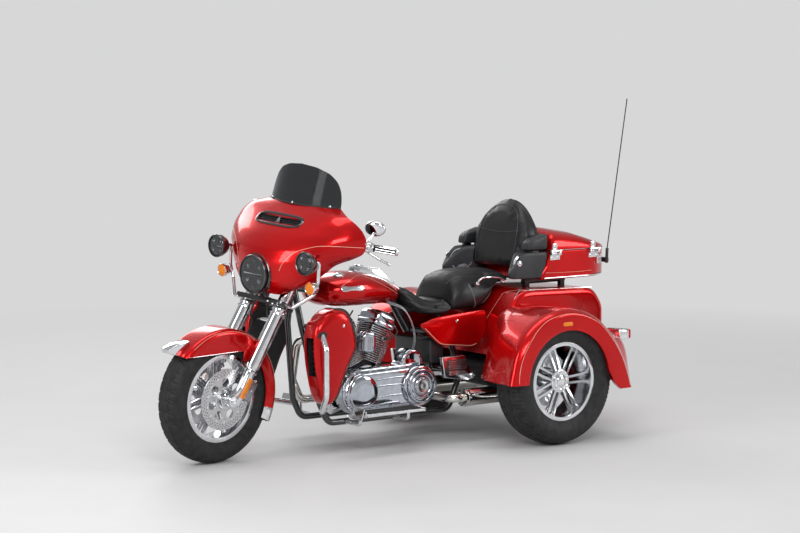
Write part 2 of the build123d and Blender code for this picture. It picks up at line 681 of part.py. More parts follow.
def rear_axle_housing():
    """Axle tubes, middle gear case and the two arms to the frame's cross bar."""
    housing = disc(0, REAR_AXLE_Z, AXLE_TUBE_RADIUS, -HOUSING_END_Y, HOUSING_END_Y)
    housing += disc(0, REAR_AXLE_Z, 92, -110, 110)
    stub = TRACK / 2 + REAR_BORE_END - 2
    housing += disc(0, REAR_AXLE_Z, AXLE_STUB_RADIUS, -stub, stub)
    for y in (-RAIL_HALF_SPACING - 46, RAIL_HALF_SPACING + 46):
        arm = side_shape([(0, 290), (250, 305), (250, 355), (0, 358)], y - 18, y + 18)
        housing += arm + disc(250, 330, 25, y - 18, y + 18)
    return housing - disc(250, 330, PIVOT_RADIUS, -PIVOT_REACH - 1, PIVOT_REACH + 1)


def engine_case():
    case = disc(CRANK_X, CRANK_Z, CRANKCASE_RADIUS, -CRANKCASE_HALF_WIDTH, CRANKCASE_HALF_WIDTH)
    case += block((430, -92, 196), (CRANK_X, 92, 366))
    case = case - cylinder_bank(1, BORE_RADIUS, 100, 500) - cylinder_bank(-1, BORE_RADIUS, 100, 500)
    return case


def bank_plane(lean):
    """A plane at the crank, square to the front (1) or rear (-1) cylinder."""
    turn = radians(CYLINDER_LEAN * lean)
    across, along = (cos(turn), 0, -sin(turn)), (sin(turn), 0, cos(turn))
    return Plane(origin=(CRANK_X, 0, CRANK_Z), x_dir=across, z_dir=along)


def cylinder_bank(lean, radius, low, high):
    return Solid.make_cylinder(radius, high - low, bank_plane(lean).offset(low))


def finned_cylinder(lean):
    barrel = cylinder_bank(lean, BORE_RADIUS, 100, ROCKER_BASE)
    count = int((ROCKER_BASE - CYLINDER_BASE - 18) / FIN_PITCH)
    for fin in range(count):
        low = CYLINDER_BASE + 18 + fin * FIN_PITCH
        plate = bank_plane(lean).offset(low) * RectangleRounded(2 * FIN_RADIUS, 2 * FIN_RADIUS + 6, 44)
        barrel += extrude(plate, amount=FIN_THICKNESS)
    middle = CRANK_X + lean * 201
    return barrel & block((middle - 199, -200, 0), (middle + 199, 200, 800))


def rocker_cover(lean):
    plate = bank_plane(lean).offset(ROCKER_BASE) * RectangleRounded(138, 170, 40)
    cover = extrude(plate, amount=ROCKER_TOP - ROCKER_BASE)
    top = cover.faces().sort_by(Axis.Z)[-1]
    return fillet(top.edges(), 16)




def primary_cover():
    """The drive cover along the left side, with the raised clutch end and the starter's bulge."""
    low_y = CRANKCASE_HALF_WIDTH
    front = disc(PRIMARY_FRONT_X, CRANK_Z - 6, 114, low_y, PRIMARY_OUTER_Y - 14)
    rear = disc(CLUTCH_X, CLUTCH_Z, 112, low_y, PRIMARY_OUTER_Y)
    bridge = side_shape(
        [
            (PRIMARY_FRONT_X, CRANK_Z + 108),
            (CLUTCH_X, CLUTCH_Z + 112),
            (CLUTCH_X, CLUTCH_Z - 112),
            (PRIMARY_FRONT_X, CRANK_Z - 120),
        ],
        low_y,
        PRIMARY_OUTER_Y - 22,
    )
    cover = front + rear + bridge
    bulge = disc(CLUTCH_X + 20, CLUTCH_Z + 118, 64, low_y, 168)
    flank = [(-62, CLUTCH_Z + 60), (-44, 424), (84, 424), (130, 390), (120, 330)]
    return cover + bulge + side_shape([(CLUTCH_X + x, z) for x, z in flank], low_y, 160)


def derby_cover():
    cover = disc(CLUTCH_X, CLUTCH_Z, DERBY_RADIUS, PRIMARY_OUTER_Y, DERBY_OUTER_Y)
    return fillet(cover.edges().group_by(Axis.Y)[-1], 10)


def gear_cover():
    return disc(CRANK_X, CRANK_Z, 96, -CRANKCASE_HALF_WIDTH - 36, -CRANKCASE_HALF_WIDTH)


def air_cleaner():
    cleaner = disc(CRANK_X, 560, 92, -232, -110) + disc(CRANK_X, 560, 30, -110, -30)
    return cleaner - finned_cylinder(1) - finned_cylinder(-1)


def horn():
    """A horn under a rounded cover, held on a bar between the two cylinders."""
    face = Plane(origin=(CRANK_X + 25, 108, 536), x_dir=(1, 0, 0), z_dir=(0, 1, 0))
    cover = extrude(face * RectangleRounded(78, 104, 24), amount=52)
    cover = fillet(cover.edges().group_by(Axis.Y)[-1], 14)
    cover += disc(CRANK_X + 4, 556, 14, 40, 110)
    cover += rod((CRANK_X - 60, 54, 560), (CRANK_X + 60, 54, 560), 12)
    cover = cover - finned_cylinder(1) - finned_cylinder(-1)
    return max(cover.solids(), key=lambda solid: solid.volume)


def mufflers():
    cans = rod((-420, 235, 222), (330, 235, 222), 44) + rod((-420, -235, 222), (330, -235, 222), 44)
    cans += [block((-10, y - 6, 250), (10, y + 6, 290)) for y in (-235, 235)]
    cans -= disc(0, REAR_AXLE_Z, AXLE_TUBE_RADIUS, -300, 300)
    pipes = cans + pipe([(330, 235, 222), (394, 235, 222), (394, -235, 222), (330, -235, 222)], 21, 40)
    low = [(1070, -210, 330), (1020, -210, 222), (394, -210, 222)]
    pipes += pipe([(1030, -84, 560), (1062, -176, 520), *low], 21, 50)
    low = [(700, -210, 380), (760, -210, 222), (860, -210, 222)]
    pipes += pipe([(700, -84, 560), (690, -176, 500), *low], 21, 40)
    for bank in (1, -1):
        pipes -= rocker_cover(bank) + finned_cylinder(bank)
    return pipes


# ---------------------------------------------------------------- tank and seats
TANK_SECTIONS = [  # X, half width, low Z, high Z, corner
    (586.0, 62.0, 716.0, 768.0, 20.0),
    (700.0, 128.0, 712.0, 842.0, 44.0),
    (880.0, 176.0, 712.0, 886.0, 60.0),
    (1030.0, 160.0, 722.0, 872.0, 54.0),
    (1096.0, 92.0, 752.0, 836.0, 34.0),
]


def fuel_tank():
    tank = loft([cross_section(*row) for row in TANK_SECTIONS])
    tunnel = rod((axis_x(850) - 10, 0, 850), BACKBONE_REAR, BACKBONE_RADIUS)
    return tank - tunnel - block((560, -BACKBONE_RADIUS, 600), (1160, BACKBONE_RADIUS, 745)) - console_block()


CONSOLE_TOP = [(846.0, 860.0), (828.0, 902.0), (700.0, 878.0), (640.0, 826.0), (588.0, 790.0), (586.0, 770.0)]


def console_block():
    return side_shape(CONSOLE_TOP + [(640.0, 792.0), (700.0, 822.0)], -46, 46)


FLAP_HINGE_X, FLAP_HINGE_Z = 706.0, 885.0
FLAP_PIN_RADIUS, FLAP_BARREL_RADIUS = 2.5, 5.0
FLAP_HALF_WIDTH, FLAP_BARREL_HALF = 36.0, 30.0


def console():
    """The dash along the tank's top, with the fuel flap's hinge pin between two ears."""
    body = console_block()
    for side in (-1, 1):
        near, far = sorted((side * (FLAP_BARREL_HALF + 1), side * FLAP_HALF_WIDTH))
        body += block((FLAP_HINGE_X - 3.5, near, 870), (FLAP_HINGE_X + 3.5, far, FLAP_HINGE_Z + 3.5))
    return body + disc(FLAP_HINGE_X, FLAP_HINGE_Z, FLAP_PIN_RADIUS, -FLAP_HALF_WIDTH, FLAP_HALF_WIDTH)


def fuel_door():
    slope = (CONSOLE_TOP[1][1] - CONSOLE_TOP[2][1]) / (CONSOLE_TOP[1][0] - CONSOLE_TOP[2][0])
    spans = [(FLAP_HINGE_X, FLAP_BARREL_HALF), (FLAP_HINGE_X + 6, FLAP_HALF_WIDTH)]
    high_x = 816.0
    flap = disc(FLAP_HINGE_X, FLAP_HINGE_Z, FLAP_BARREL_RADIUS, -FLAP_BARREL_HALF, FLAP_BARREL_HALF)
    for low_x, half in spans:
        low_z, high_z = [CONSOLE_TOP[2][1] + (x - CONSOLE_TOP[2][0]) * slope + 1 for x in (low_x, high_x)]
        lower, upper = [(low_x, low_z), (high_x, high_z)], [(high_x, high_z + 7), (low_x, low_z + 7)]
        flap += side_shape(lower + upper, -half, half)
    bore = FLAP_PIN_RADIUS + RUNNING_CLEARANCE
    return flap - disc(FLAP_HINGE_X, FLAP_HINGE_Z, bore, -FLAP_HALF_WIDTH - 1, FLAP_HALF_WIDTH + 1)


SEAT_JOINT = [(348.0, 728.0), (330.0, 654.0)]


def rider_seat():
    outline = [
        (588, 752),
        (600, 797),
        (566, 793),
        (500, 744),
        (436, 706),
        (384, 704),
        *SEAT_JOINT,
        (420, 640),
        (520, 645),
        (572, 716),
    ]
    seat = side_shape(outline, -186, 186)
    seat &= plan_shape([(606, 66), (566, 92), (500, 152), (440, 186), (320, 186)], 600, 820)
    seat &= front_shape([(186, 600), (186, 684), (164, 716), (128, 745), (92, 800)], 300, 620)
    return seat - rod(BACKBONE_REAR, (500, 0, 560), BACKBONE_RADIUS) - fuel_tank() - console_block()


def passenger_seat():
    high, low = [(x - SEAT_GAP, z) for x, z in SEAT_JOINT]
    outline = [
        low,
        high,
        (338, 778),
        (300, 826),
        (240, 852),
        (100, 852),
        (-30, 842),
        (-34, 790),
        (36, 782),
        (140, 668),
        (192, 660),
    ]
    seat = side_shape(outline, -186, 186)
    seat &= plan_shape([(352, 166), (300, 186), (-40, 186)], 600, 900)
    return seat & front_shape([(186, 600), (186, 782), (166, 816), (120, 856)], -60, 380)


def backrest():
    """The pad ahead of the top case, rounded across its top."""
    gap = SEAT_GAP / cos(atan(TOUR_FRONT_SLOPE))
    meet_z = TOUR_LOW_Z + (BACKREST_REAR_X - TOUR_FRONT_X - gap) / -TOUR_FRONT_SLOPE
    side = [
        (tour_front_x(843) + gap, 843),
        (BACKREST_REAR_X, meet_z),
        (BACKREST_REAR_X, 1190),
        (-176, 1209),
        (-150, 1200),
        (-118, 1120),
        (-92, 1000),
        (-58, 843),
    ]
    pad = side_shape(side, -230, 230)
    crown = ThreePointArc((0, -118, 1174), (0, 0, 1210), (0, 118, 1174))
    flank = [(118, 1174), (172, 1118), (210, 1062), (229, 1048), (226, 843)]
    rest = Polyline(*[(0, y, z) for y, z in flank + [(-y, z) for y, z in reversed(flank)]])
    face = Pos(-260, 0, 0) * make_face(crown + rest)
    return pad & extrude(face, amount=260, dir=(1, 0, 0))


# ---------------------------------------------------------------- rear body
def rear_fender_volume(inset):
    """The left rear fender's outside, or, drawn in by inset and open below, its hollow."""
    sections = []
    for y, radius, front_low, front_high, rear_high, tail_high_x, tail_high_z, tail_low_x in FENDER_SECTIONS:
        radius -= inset
        drop = 0 if inset == 0 else 60
        y += {TRUNK_HALF_WIDTH: inset, FENDER_OUTER_Y: -inset}.get(y, 0)
        front_z = REAR_AXLE_Z + sqrt(radius**2 - (front_high - inset) ** 2)
        rear_z = REAR_AXLE_Z + sqrt(radius**2 - (rear_high + inset) ** 2)
        crown = ThreePointArc(
            (front_high - inset, y, front_z), (0, y, REAR_AXLE_Z + radius), (rear_high + inset, y, rear_z)
        )
        rest = Polyline(
            (rear_high + inset, y, rear_z),
            (tail_high_x + inset, y, tail_high_z - inset),
            (tail_low_x + inset, y, FENDER_TAIL_Z - drop),
            (front_low - inset, y, FENDER_TAIL_Z - drop),
            (front_low - inset, y, FENDER_FRONT_Z - drop),
            (front_high - inset, y, front_z),
        )
        sections.append(make_face(crown + rest))
    volume = loft(sections, ruled=True)
    return volume - block((-180, 200, 0), (500, OVERALL_HALF_WIDTH + 9, FENDER_FRONT_Z - drop))


def rear_fender():
    shell = rear_fender_volume(0) - rear_fender_volume(REAR_FENDER_WALL)
    arch = disc(0, REAR_AXLE_Z, REAR_ARCH_RADIUS, TRACK / 2, OVERALL_HALF_WIDTH + 1)
    behind = [(-200, 200), (-263, 364), (-306, 300), (-345, 262), (-345, 200)]
    shell -= arch + side_shape(behind, TRACK / 2, OVERALL_HALF_WIDTH + 1)
    return shell - disc(0, REAR_AXLE_Z, 60, TRUNK_HALF_WIDTH - 1, TRACK / 2)


def trunk_outline(inset):
    return [
        (TRUNK_FRONT_X - inset, TRUNK_FLOOR_Z + inset),
        (TRUNK_FRONT_X - inset, 636),
        (TRUNK_FRONT_X - 95 - inset, TRUNK_TOP_Z - inset),
        (-456, TRUNK_TOP_Z - 11 - inset),
        (TRUNK_REAR_X + inset, 654 - inset / 2),
        (TRUNK_REAR_X + inset, TRUNK_FLOOR_Z + inset),
    ]


DOOR_HIGH_Z, DOOR_HALF_WIDTH, DOOR_THICKNESS = 640.0, 318.0, 14.0
PLATE_HOLE_SPACING, PLATE_HOLE_RADIUS, PLATE_HOLE_Z = 146.0, 3.3, 590.0
DOOR_HINGE_X = TRUNK_REAR_X + DOOR_THICKNESS / 2


def trunk():
    shell = side_shape(trunk_outline(0), -TRUNK_HALF_WIDTH, TRUNK_HALF_WIDTH)
    tops = shell.edges().filter_by(lambda edge: edge.center().Z > 740 and abs(edge.center().Y) > 300)
    shell = fillet(tops, 24)
    inner = TRUNK_HALF_WIDTH - TRUNK_WALL
    hollow = side_shape(trunk_outline(TRUNK_WALL), -inner, inner)
    tops = hollow.edges().filter_by(lambda edge: edge.center().Z > 730 and abs(edge.center().Y) > 300)
    shell -= fillet(tops, 20)
    side = DOOR_HALF_WIDTH + DOOR_GAP
    shell -= block(
        (TRUNK_REAR_X - 5, -side, DOOR_HINGE_Z - HINGE_BARREL_RADIUS - DOOR_GAP),
        (TRUNK_REAR_X + 60, side, DOOR_HIGH_Z + DOOR_GAP),
    )
    half = TRUNK_HALF_WIDTH
    shell += block((TRUNK_REAR_X, -half, APRON_LOW_Z), (TRUNK_REAR_X + 8, half, TRUNK_FLOOR_Z))
    return shell + disc(DOOR_HINGE_X, DOOR_HINGE_Z, HINGE_PIN_RADIUS, -side - 3, side + 3)


def trunk_door():
    side = DOOR_HALF_WIDTH
    door = block((TRUNK_REAR_X, -side, DOOR_HINGE_Z), (TRUNK_REAR_X + DOOR_THICKNESS, side, DOOR_HIGH_Z))
    door += disc(DOOR_HINGE_X, DOOR_HINGE_Z, HINGE_BARREL_RADIUS, -side, side)
    door -= disc(DOOR_HINGE_X, DOOR_HINGE_Z, HINGE_PIN_RADIUS + RUNNING_CLEARANCE, -side - 1, side + 1)
    for y in (-PLATE_HOLE_SPACING / 2, PLATE_HOLE_SPACING / 2):
        hole = Vector(TRUNK_REAR_X - 1, y, PLATE_HOLE_Z)
        door -= rod(hole, hole + Vector(31, 0, 0), PLATE_HOLE_RADIUS)
    return door


# ---------------------------------------------------------------- top case
def tour_front_x(z):
    """X of the case's sloping front at a height; the lid's front stands upright."""
    return TOUR_FRONT_X - min(z, TOUR_SPLIT_Z) * TOUR_FRONT_SLOPE + TOUR_LOW_Z * TOUR_FRONT_SLOPE


def tour_volume(inset, low_z, high_z):
    """The closed case, drawn in by inset, between two heights."""
    half = TOUR_HALF_WIDTH - inset
    rear = TOUR_REAR_X + inset
    plan = [
        (TOUR_FRONT_X, -half),
        (-500, -half),
        (-606 + inset / 2, -half + 58),
        (rear, -half + 130),
        (rear, half - 130),
        (-606 + inset / 2, half - 58),
        (-500, half),
        (TOUR_FRONT_X, half),
    ]
    outline = make_face(Polyline(*[(x, y, low_z) for x, y in plan], close=True))
    side = [
        (TOUR_FRONT_X - inset, TOUR_LOW_Z + inset),
        (tour_front_x(TOUR_SPLIT_Z) - inset, TOUR_SPLIT_Z),
        (tour_front_x(TOUR_SPLIT_Z) - 8 - inset, LID_FRONT_Z - inset),
        (-400, LID_FRONT_Z - 24 - inset),
        (-540, LID_FRONT_Z - 66 - inset),
        (TOUR_REAR_X + 8 + inset, TOUR_SPLIT_Z + 14 - inset),
        (rear, TOUR_SPLIT_Z),
        (rear, 868),
        (-604 + inset, TOUR_LOW_Z + inset),
    ]
    case = extrude(outline, amount=high_z - low_z, dir=(0, 0, 1))
    return case & side_shape(side, -half, half)


def lid_hinge_rod(x, half_length, radius):
    start, end = (x - half_length, LID_HINGE_Y, LID_HINGE_Z), (x + half_length, LID_HINGE_Y, LID_HINGE_Z)
    return rod(start, end, radius)


def tour_box():
    box = tour_volume(0, TOUR_LOW_Z, TOUR_SPLIT_Z)
    box -= tour_volume(TOUR_WALL, TOUR_LOW_Z + TOUR_WALL, TOUR_SPLIT_Z + 1)
    side = TOUR_HALF_WIDTH
    for x in LID_HINGE_XS:
        box += lid_hinge_rod(x, 32, HINGE_PIN_RADIUS)
        for low_x in (x - 34, x + 22):
            box += block((low_x, side, 924), (low_x + 12, side + 18, LID_HINGE_Z - 10))
            box += block((low_x, side + 5.5, LID_HINGE_Z - 11), (low_x + 12, side + 18, LID_HINGE_Z + 6))
    return box


def tour_lid():
    lid = tour_volume(0, TOUR_SPLIT_Z + LID_GAP, LID_FRONT_Z + 1)
    side = TOUR_HALF_WIDTH
    high_edges = lid.edges().filter_by(lambda edge: edge.center().Z > TOUR_SPLIT_Z + 40)
    lid = fillet(high_edges.filter_by(lambda edge: abs(edge.center().Y) > 200), 24)
    hollow = tour_volume(TOUR_WALL, TOUR_SPLIT_Z, LID_FRONT_Z)
    lid -= hollow - block((-900, side - 18, 1000), (0, 400, 1200))
    top = LID_HINGE_Z + HINGE_BARREL_RADIUS
    for x in LID_HINGE_XS:
        lid += block((x - 16, side - 1, LID_HINGE_Z), (x + 16, LID_HINGE_Y, top))
        lid += lid_hinge_rod(x, 16, HINGE_BARREL_RADIUS)
        lid -= lid_hinge_rod(x, 20, HINGE_PIN_RADIUS + RUNNING_CLEARANCE)
    return lid


def tour_rack():
    """Rails between the trunk's top and the case's floor."""
    rails = []
    for side in (-1, 1):
        y = side * 150
        rail = rod((-420, y, 776), (-140, y, 776), 10)
        for x in (-400, -160):
            rail += block((x - 15, y - 12, TRUNK_TOP_Z - 20), (x + 15, y + 12, 776))
        rail += block((-420, y - 12, 776), (-140, y + 12, TOUR_LOW_Z))
        rails.append(rail - side_shape(trunk_outline(0), -200, 200))
    return rails


def antenna():
    foot = Vector(-603, 285, 940)
    mast = rod((-599, 285, 862), foot, 8) + rod(foot, (-734, 285, 1723), 3)
    bracket = block((-610, 150, 866), (-592, 289, 890))
    return mast + (bracket - tour_volume(0, TOUR_LOW_Z, TOUR_SPLIT_Z))


def side_covers():
    top = [(564, 600), (470, 632), (330, 645), (192, 654), (TRUNK_FRONT_X, 654)]
    foot = [(TRUNK_FRONT_X, 540), (211, 470), (437, 494)]
    return both_sides(side_shape(top + foot, 178, 192))


def lower_fairings():
    outline = [  # ahead of the down tubes' top, Z
        (56, 700),
        (-6, 735),
        (-76, 728),
        (-110, 680),
        (-140, 560),
        (-88, 450),
        (-16, 300),
        (48, 300),
        (94, 480),
        (96, 640),
    ]
    pod = side_shape([(DOWN_TUBE_X + ahead, z) for ahead, z in outline], 246, 352)
    pod = fillet(pod.edges().group_by(Axis.Y)[-1], 30)
    pod -= block((DOWN_TUBE_X + 38, 268, 400), (DOWN_TUBE_X + 124, 326, 630))
    return both_sides(pod - guard_pipe())


def guard_pipe():
    points = [
        (0, RAIL_HALF_SPACING, 640),
        (62, 330, 650),
        (74, 396, 560),
        (74, 396, 330),
        (56, 330, 250),
        (-106, RAIL_HALF_SPACING + 10, 220),
    ]
    return pipe([(DOWN_TUBE_X + ahead, y, z) for ahead, y, z in points], 14, 50)


def engine_guard():
    return both_sides(guard_pipe() - frame_tubes())


def floorboards():
    outline = [(1010, 214), (1000, 200), (650, 200), (650, 214)]
    board = side_shape(outline, 240, 350)
    for x in (690, 985):
        board += pipe([(x, RAIL_HALF_SPACING, RAIL_Z), (x, 262, RAIL_Z), (x, 262, 205)], 9, 20)
    return both_sides(board - frame_tubes())


def passenger_boards():
    """The passenger's foot boards, folded up against the frame's cross bar ends."""
    board = side_shape([(446, 436), (300, 436), (262, 352), (240, 312), (276, 306), (428, 330)], 196, 220)
    return both_sides(board)


def tail_lamps():
    """Lamps on the fenders' rear faces and on the case's rear corners."""
    low = block((-500, FENDER_OUTER_Y - 210, 492), (-420, FENDER_OUTER_Y - 90, 556))
    low -= rear_fender_volume(0)
    high = Pos(-540, 278, 886) * Rot(0, 0, 28.7) * Box(70, 24, 46)
    return both_sides(low) + both_sides(high - tour_volume(0, TOUR_LOW_Z, TOUR_SPLIT_Z))


def side_markers():
    face = Plane(origin=(17, FENDER_OUTER_Y, 620), x_dir=(1, 0, 0), z_dir=(0, 1, 0))
    return both_sides(extrude(face * RectangleRounded(62, 20, 9.9), amount=MARKER_PROUD))


def speaker_pods():
    """Grille-fronted pods at the case's front corners, each with the post of an arm pad."""
    plan = [(-200, 300), (66, 300), (66, 276), (-96, 168), (-200, 168)]
    face = make_face(Polyline(*[(x, y, TOUR_LOW_Z + 8) for x, y in plan], close=True))
    pod = extrude(face, amount=400, dir=(0, 0, 1))
    pod &= side_shape([(-200, 800), (66, 812), (62, 832), (-25, 947), (-200, 944)], 160, 310)
    pod += block((-130, 262, 900), (-80, 296, ARM_PAD_Z - SEAT_GAP))
    pod -= tour_volume(0, TOUR_LOW_Z, TOUR_SPLIT_Z)
    pod -= block((-260, 100, 700), (TOUR_FRONT_X - 66, 400, 1000))
    return both_sides(pod - backrest())


def arm_pads():
    front = [(-46, ARM_PAD_Z), (-54, 1000), (-78, 1020), (-182, 1046)]
    rear = [(BACKREST_REAR_X, 1040), (BACKREST_REAR_X, ARM_PAD_Z)]
    return both_sides(side_shape(front + rear, 230, 300))


# ---------------------------------------------------------------- export
def steered(shape):
    """A front-end shape turned from straight ahead to its parked angle."""
    return shape.rotate(STEERING_AXIS, STEER_AT_REST)


def placed(shape):
    """A shape moved so that the origin is under the middle of the overall length."""
    return Pos(-CENTRE_AHEAD_OF_REAR_AXLE, 0, 0) * shape


def save(name, shape, front_end=False):
    solids = []
    for piece in shape if isinstance(shape, (list, tuple, ShapeList)) else [shape]:
        solids.extend(piece.solids())
    if front_end:
        solids = [steered(solid) for solid in solids]
    solids = [placed(solid) for solid in solids]
    export_step(Compound(children=solids) if len(solids) > 1 else solids[0], f"parts/{name}.step")


os.makedirs("parts", exist_ok=True)

FRONT_PIECES = front_wheel() | {
    "fork_crowns": fork_crowns(),
    "fork_legs": [fork_leg(side) for side in (-1, 1)],
    "front_axle": front_axle(),
    "front_fender": front_fender(),
    "fender_tip": fender_tip(),
    "fender_lamp": fender_lamp(),
    "fork_reflectors": fork_reflectors(),
    "calipers": calipers(),
    "fairing_outer": fairing_outer(),
    "fairing_inner": fairing_inner(),
    "headlamp": headlamp(),
    "windscreen": windscreen(),
    "lamp_bar": lamp_bar(),
    "passing_lamps": passing_lamps(),
    "turn_signals": turn_signals(),
    "handlebar": handlebar(),
    "grips": grips(),
    "levers": levers(),
    "mirrors": mirrors(),
}
for name, shape in FRONT_PIECES.items():
    save(name, shape, front_end=True)

CHASSIS_PIECES = {
    "frame_tubes": frame_tubes(),
    "rear_axle_housing": rear_axle_housing(),
    "engine_case": engine_case(),
    "cylinders": [finned_cylinder(1), finned_cylinder(-1)],
    "rocker_covers": [rocker_cover(1), rocker_cover(-1)],
    "primary_cover": primary_cover(),
    "derby_cover": derby_cover(),
    "gear_cover": gear_cover(),
    "air_cleaner": air_cleaner(),
    "horn": horn(),
    "mufflers": mufflers(),
    "fuel_tank": fuel_tank(),
    "console": console(),
    "fuel_door": fuel_door(),
    "rider_seat": rider_seat(),
    "passenger_seat": passenger_seat(),
    "backrest": backrest(),
    "trunk": trunk(),
    "trunk_door": trunk_door(),
    "tour_box": tour_box(),
    "tour_lid": tour_lid(),
    "tour_rack": tour_rack(),
    "antenna": antenna(),
    "side_covers": side_covers(),
    "lower_fairings": lower_fairings(),
    "engine_guard": engine_guard(),
    "floorboards": floorboards(),
    "passenger_boards": passenger_boards(),
    "tail_lamps": tail_lamps(),
    "side_markers": side_markers(),
    "speaker_pods": speaker_pods(),
    "arm_pads": arm_pads(),
}
for name, shape in CHASSIS_PIECES.items():
    save(name, shape)

fender = rear_fender()
save("rear_fender_left", fender)
save("rear_fender_right", mirror(fender, about=Plane.XZ))
for name, shape in rear_wheel().items():
    save(f"{name}_left", shape)
    save(f"{name}_right", mirror(shape, about=Plane.XZ))
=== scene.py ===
"""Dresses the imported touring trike: paint, chrome, leather, rubber and the small parts.

Points are written as in the part: millimetres, rear axle over X = 0, front end straight ahead.
place() moves them to the row frame in metres and turns front-end points to the parked angle.
"""
import json
import math
from math import cos, pi, radians, sin, sqrt

import bmesh
import bpy
import numpy as np
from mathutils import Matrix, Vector
from mathutils.bvhtree import BVHTree

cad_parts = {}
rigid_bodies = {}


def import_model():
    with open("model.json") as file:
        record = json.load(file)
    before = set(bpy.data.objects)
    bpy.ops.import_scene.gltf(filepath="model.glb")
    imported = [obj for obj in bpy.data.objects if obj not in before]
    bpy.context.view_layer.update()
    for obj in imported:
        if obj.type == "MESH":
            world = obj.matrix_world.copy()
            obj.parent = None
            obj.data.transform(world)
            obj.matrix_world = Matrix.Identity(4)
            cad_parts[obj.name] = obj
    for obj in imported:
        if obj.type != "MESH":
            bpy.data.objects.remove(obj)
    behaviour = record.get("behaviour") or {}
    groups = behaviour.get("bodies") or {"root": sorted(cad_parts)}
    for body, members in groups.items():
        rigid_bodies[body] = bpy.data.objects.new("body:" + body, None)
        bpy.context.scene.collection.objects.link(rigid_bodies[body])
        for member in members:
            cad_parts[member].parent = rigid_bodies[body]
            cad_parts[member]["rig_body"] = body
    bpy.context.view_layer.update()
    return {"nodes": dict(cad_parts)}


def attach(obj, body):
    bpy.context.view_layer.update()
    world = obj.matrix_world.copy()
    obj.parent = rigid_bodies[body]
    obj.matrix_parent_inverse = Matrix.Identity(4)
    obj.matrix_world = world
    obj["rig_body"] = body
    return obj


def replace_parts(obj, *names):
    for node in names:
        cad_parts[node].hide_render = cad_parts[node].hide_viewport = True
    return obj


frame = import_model()

SHIFT = 626.2  # from the rear axle to the middle of the length
HEAD_RAKE, FORK_RAKE, STEER = radians(26), radians(31.7), radians(10)
HEAD_POINT = np.array([1769.0, 0.0, 0.0])
HEAD_AXIS = np.array([-sin(HEAD_RAKE), 0.0, cos(HEAD_RAKE)])
WHEELBASE, HALF_TRACK, REAR_AXLE_Z = 1670.0, 566.0, 324.0
FRONT_AXLE = np.array([WHEELBASE, 0.0, 322.404])
AXLE_LEAD = 32.0
FORWARD, BACK, LEFT, RIGHT, UP, DOWN = (1, 0, 0), (-1, 0, 0), (0, 1, 0), (0, -1, 0), (0, 0, 1), (0, 0, -1)
BOTH = (1, -1)  # the sides, with the rider's left first
SIDES = ((1, "left"), (-1, "right"))
STEERED = ("steering", "front_wheel")


# ---------------------------------------------------------------- placing and outlines
def turn(points, axis, angle, about=(0.0, 0.0, 0.0)):
    p = np.atleast_2d(np.asarray(points, float)) - about
    k = np.asarray(axis, float) / np.linalg.norm(axis)
    c, s = cos(angle), sin(angle)
    return p * c + np.cross(k, p) * s + np.outer(p @ k, k) * (1 - c) + about


def place(points, steered=False):
    """The part's millimetres as metres in the row frame."""
    p = np.atleast_2d(np.asarray(points, float))
    if steered:
        p = turn(p, HEAD_AXIS, STEER, HEAD_POINT)
    return (p - [SHIFT, 0, 0]) / 1000


def unplace(point, normal, steered):
    """A hit in the row frame as a point and a normal in the part's millimetres."""
    at, way = np.array(point) * 1000 + [SHIFT, 0, 0], np.array(normal)
    if steered:
        at, way = turn(at, HEAD_AXIS, -STEER, HEAD_POINT)[0], turn(way, HEAD_AXIS, -STEER)[0]
    return at, way


def smooth_table(rows, count, closed=False):
    """Rows of numbers carried through smoothly, as count rows."""
    rows = np.asarray(rows, float)
    n = len(rows)
    flat = rows.reshape(n, -1)
    out = []
    spans = n if closed else n - 1
    for t in np.linspace(0, spans, count, endpoint=not closed):
        i = min(int(t), spans - 1)
        f = t - i
        picks = [(i + k) % n if closed else min(max(i + k, 0), n - 1) for k in (-1, 0, 1, 2)]
        a, b, c, d = flat[picks]
        square, cube = 2 * a - 5 * b + 4 * c - d, 3 * b - a - 3 * c + d
        out.append(0.5 * (2 * b + (c - a) * f + square * f**2 + cube * f**3))
    return np.array(out).reshape((count,) + rows.shape[1:])


def along(points):
    """The distance of each point along a polyline."""
    return np.concatenate([[0], np.cumsum(np.linalg.norm(np.diff(points, axis=0), axis=1))])


def resample(points, count):
    """A polyline as count points, evenly spaced along it."""
    p = np.asarray(points, float)
    s = along(p)
    return np.array([np.interp(np.linspace(0, s[-1], count), s, column) for column in p.T]).T


def soften(points, rounds, closed=False):
    p = np.asarray(points, float).copy()
    for _ in range(rounds):
        if closed:
            p = (np.roll(p, 1, 0) + 2 * p + np.roll(p, -1, 0)) / 4
        else:
            p[1:-1] = (p[:-2] + 2 * p[1:-1] + p[2:]) / 4
    return p


def closed_outline(points, count, rounds):
    """A closed outline of count evenly spaced points, its corners softened."""
    return soften(resample(list(points) + [points[0]], count + 1)[:-1], rounds, True)


def angles(count):
    return np.linspace(0, 2 * pi, count, endpoint=False)


def around(centre, radius, degrees, y):
    """A point on an upright circle about centre, which is (X, Z)."""
    return (centre[0] + radius * cos(radians(degrees)), y, centre[1] + radius * sin(radians(degrees)))


def arc_points(centre, radius, start, end, count):
    turns = [radians(a) for a in np.linspace(start, end, count)]
    return [(centre[0] + radius * cos(a), centre[1] + radius * sin(a)) for a in turns]


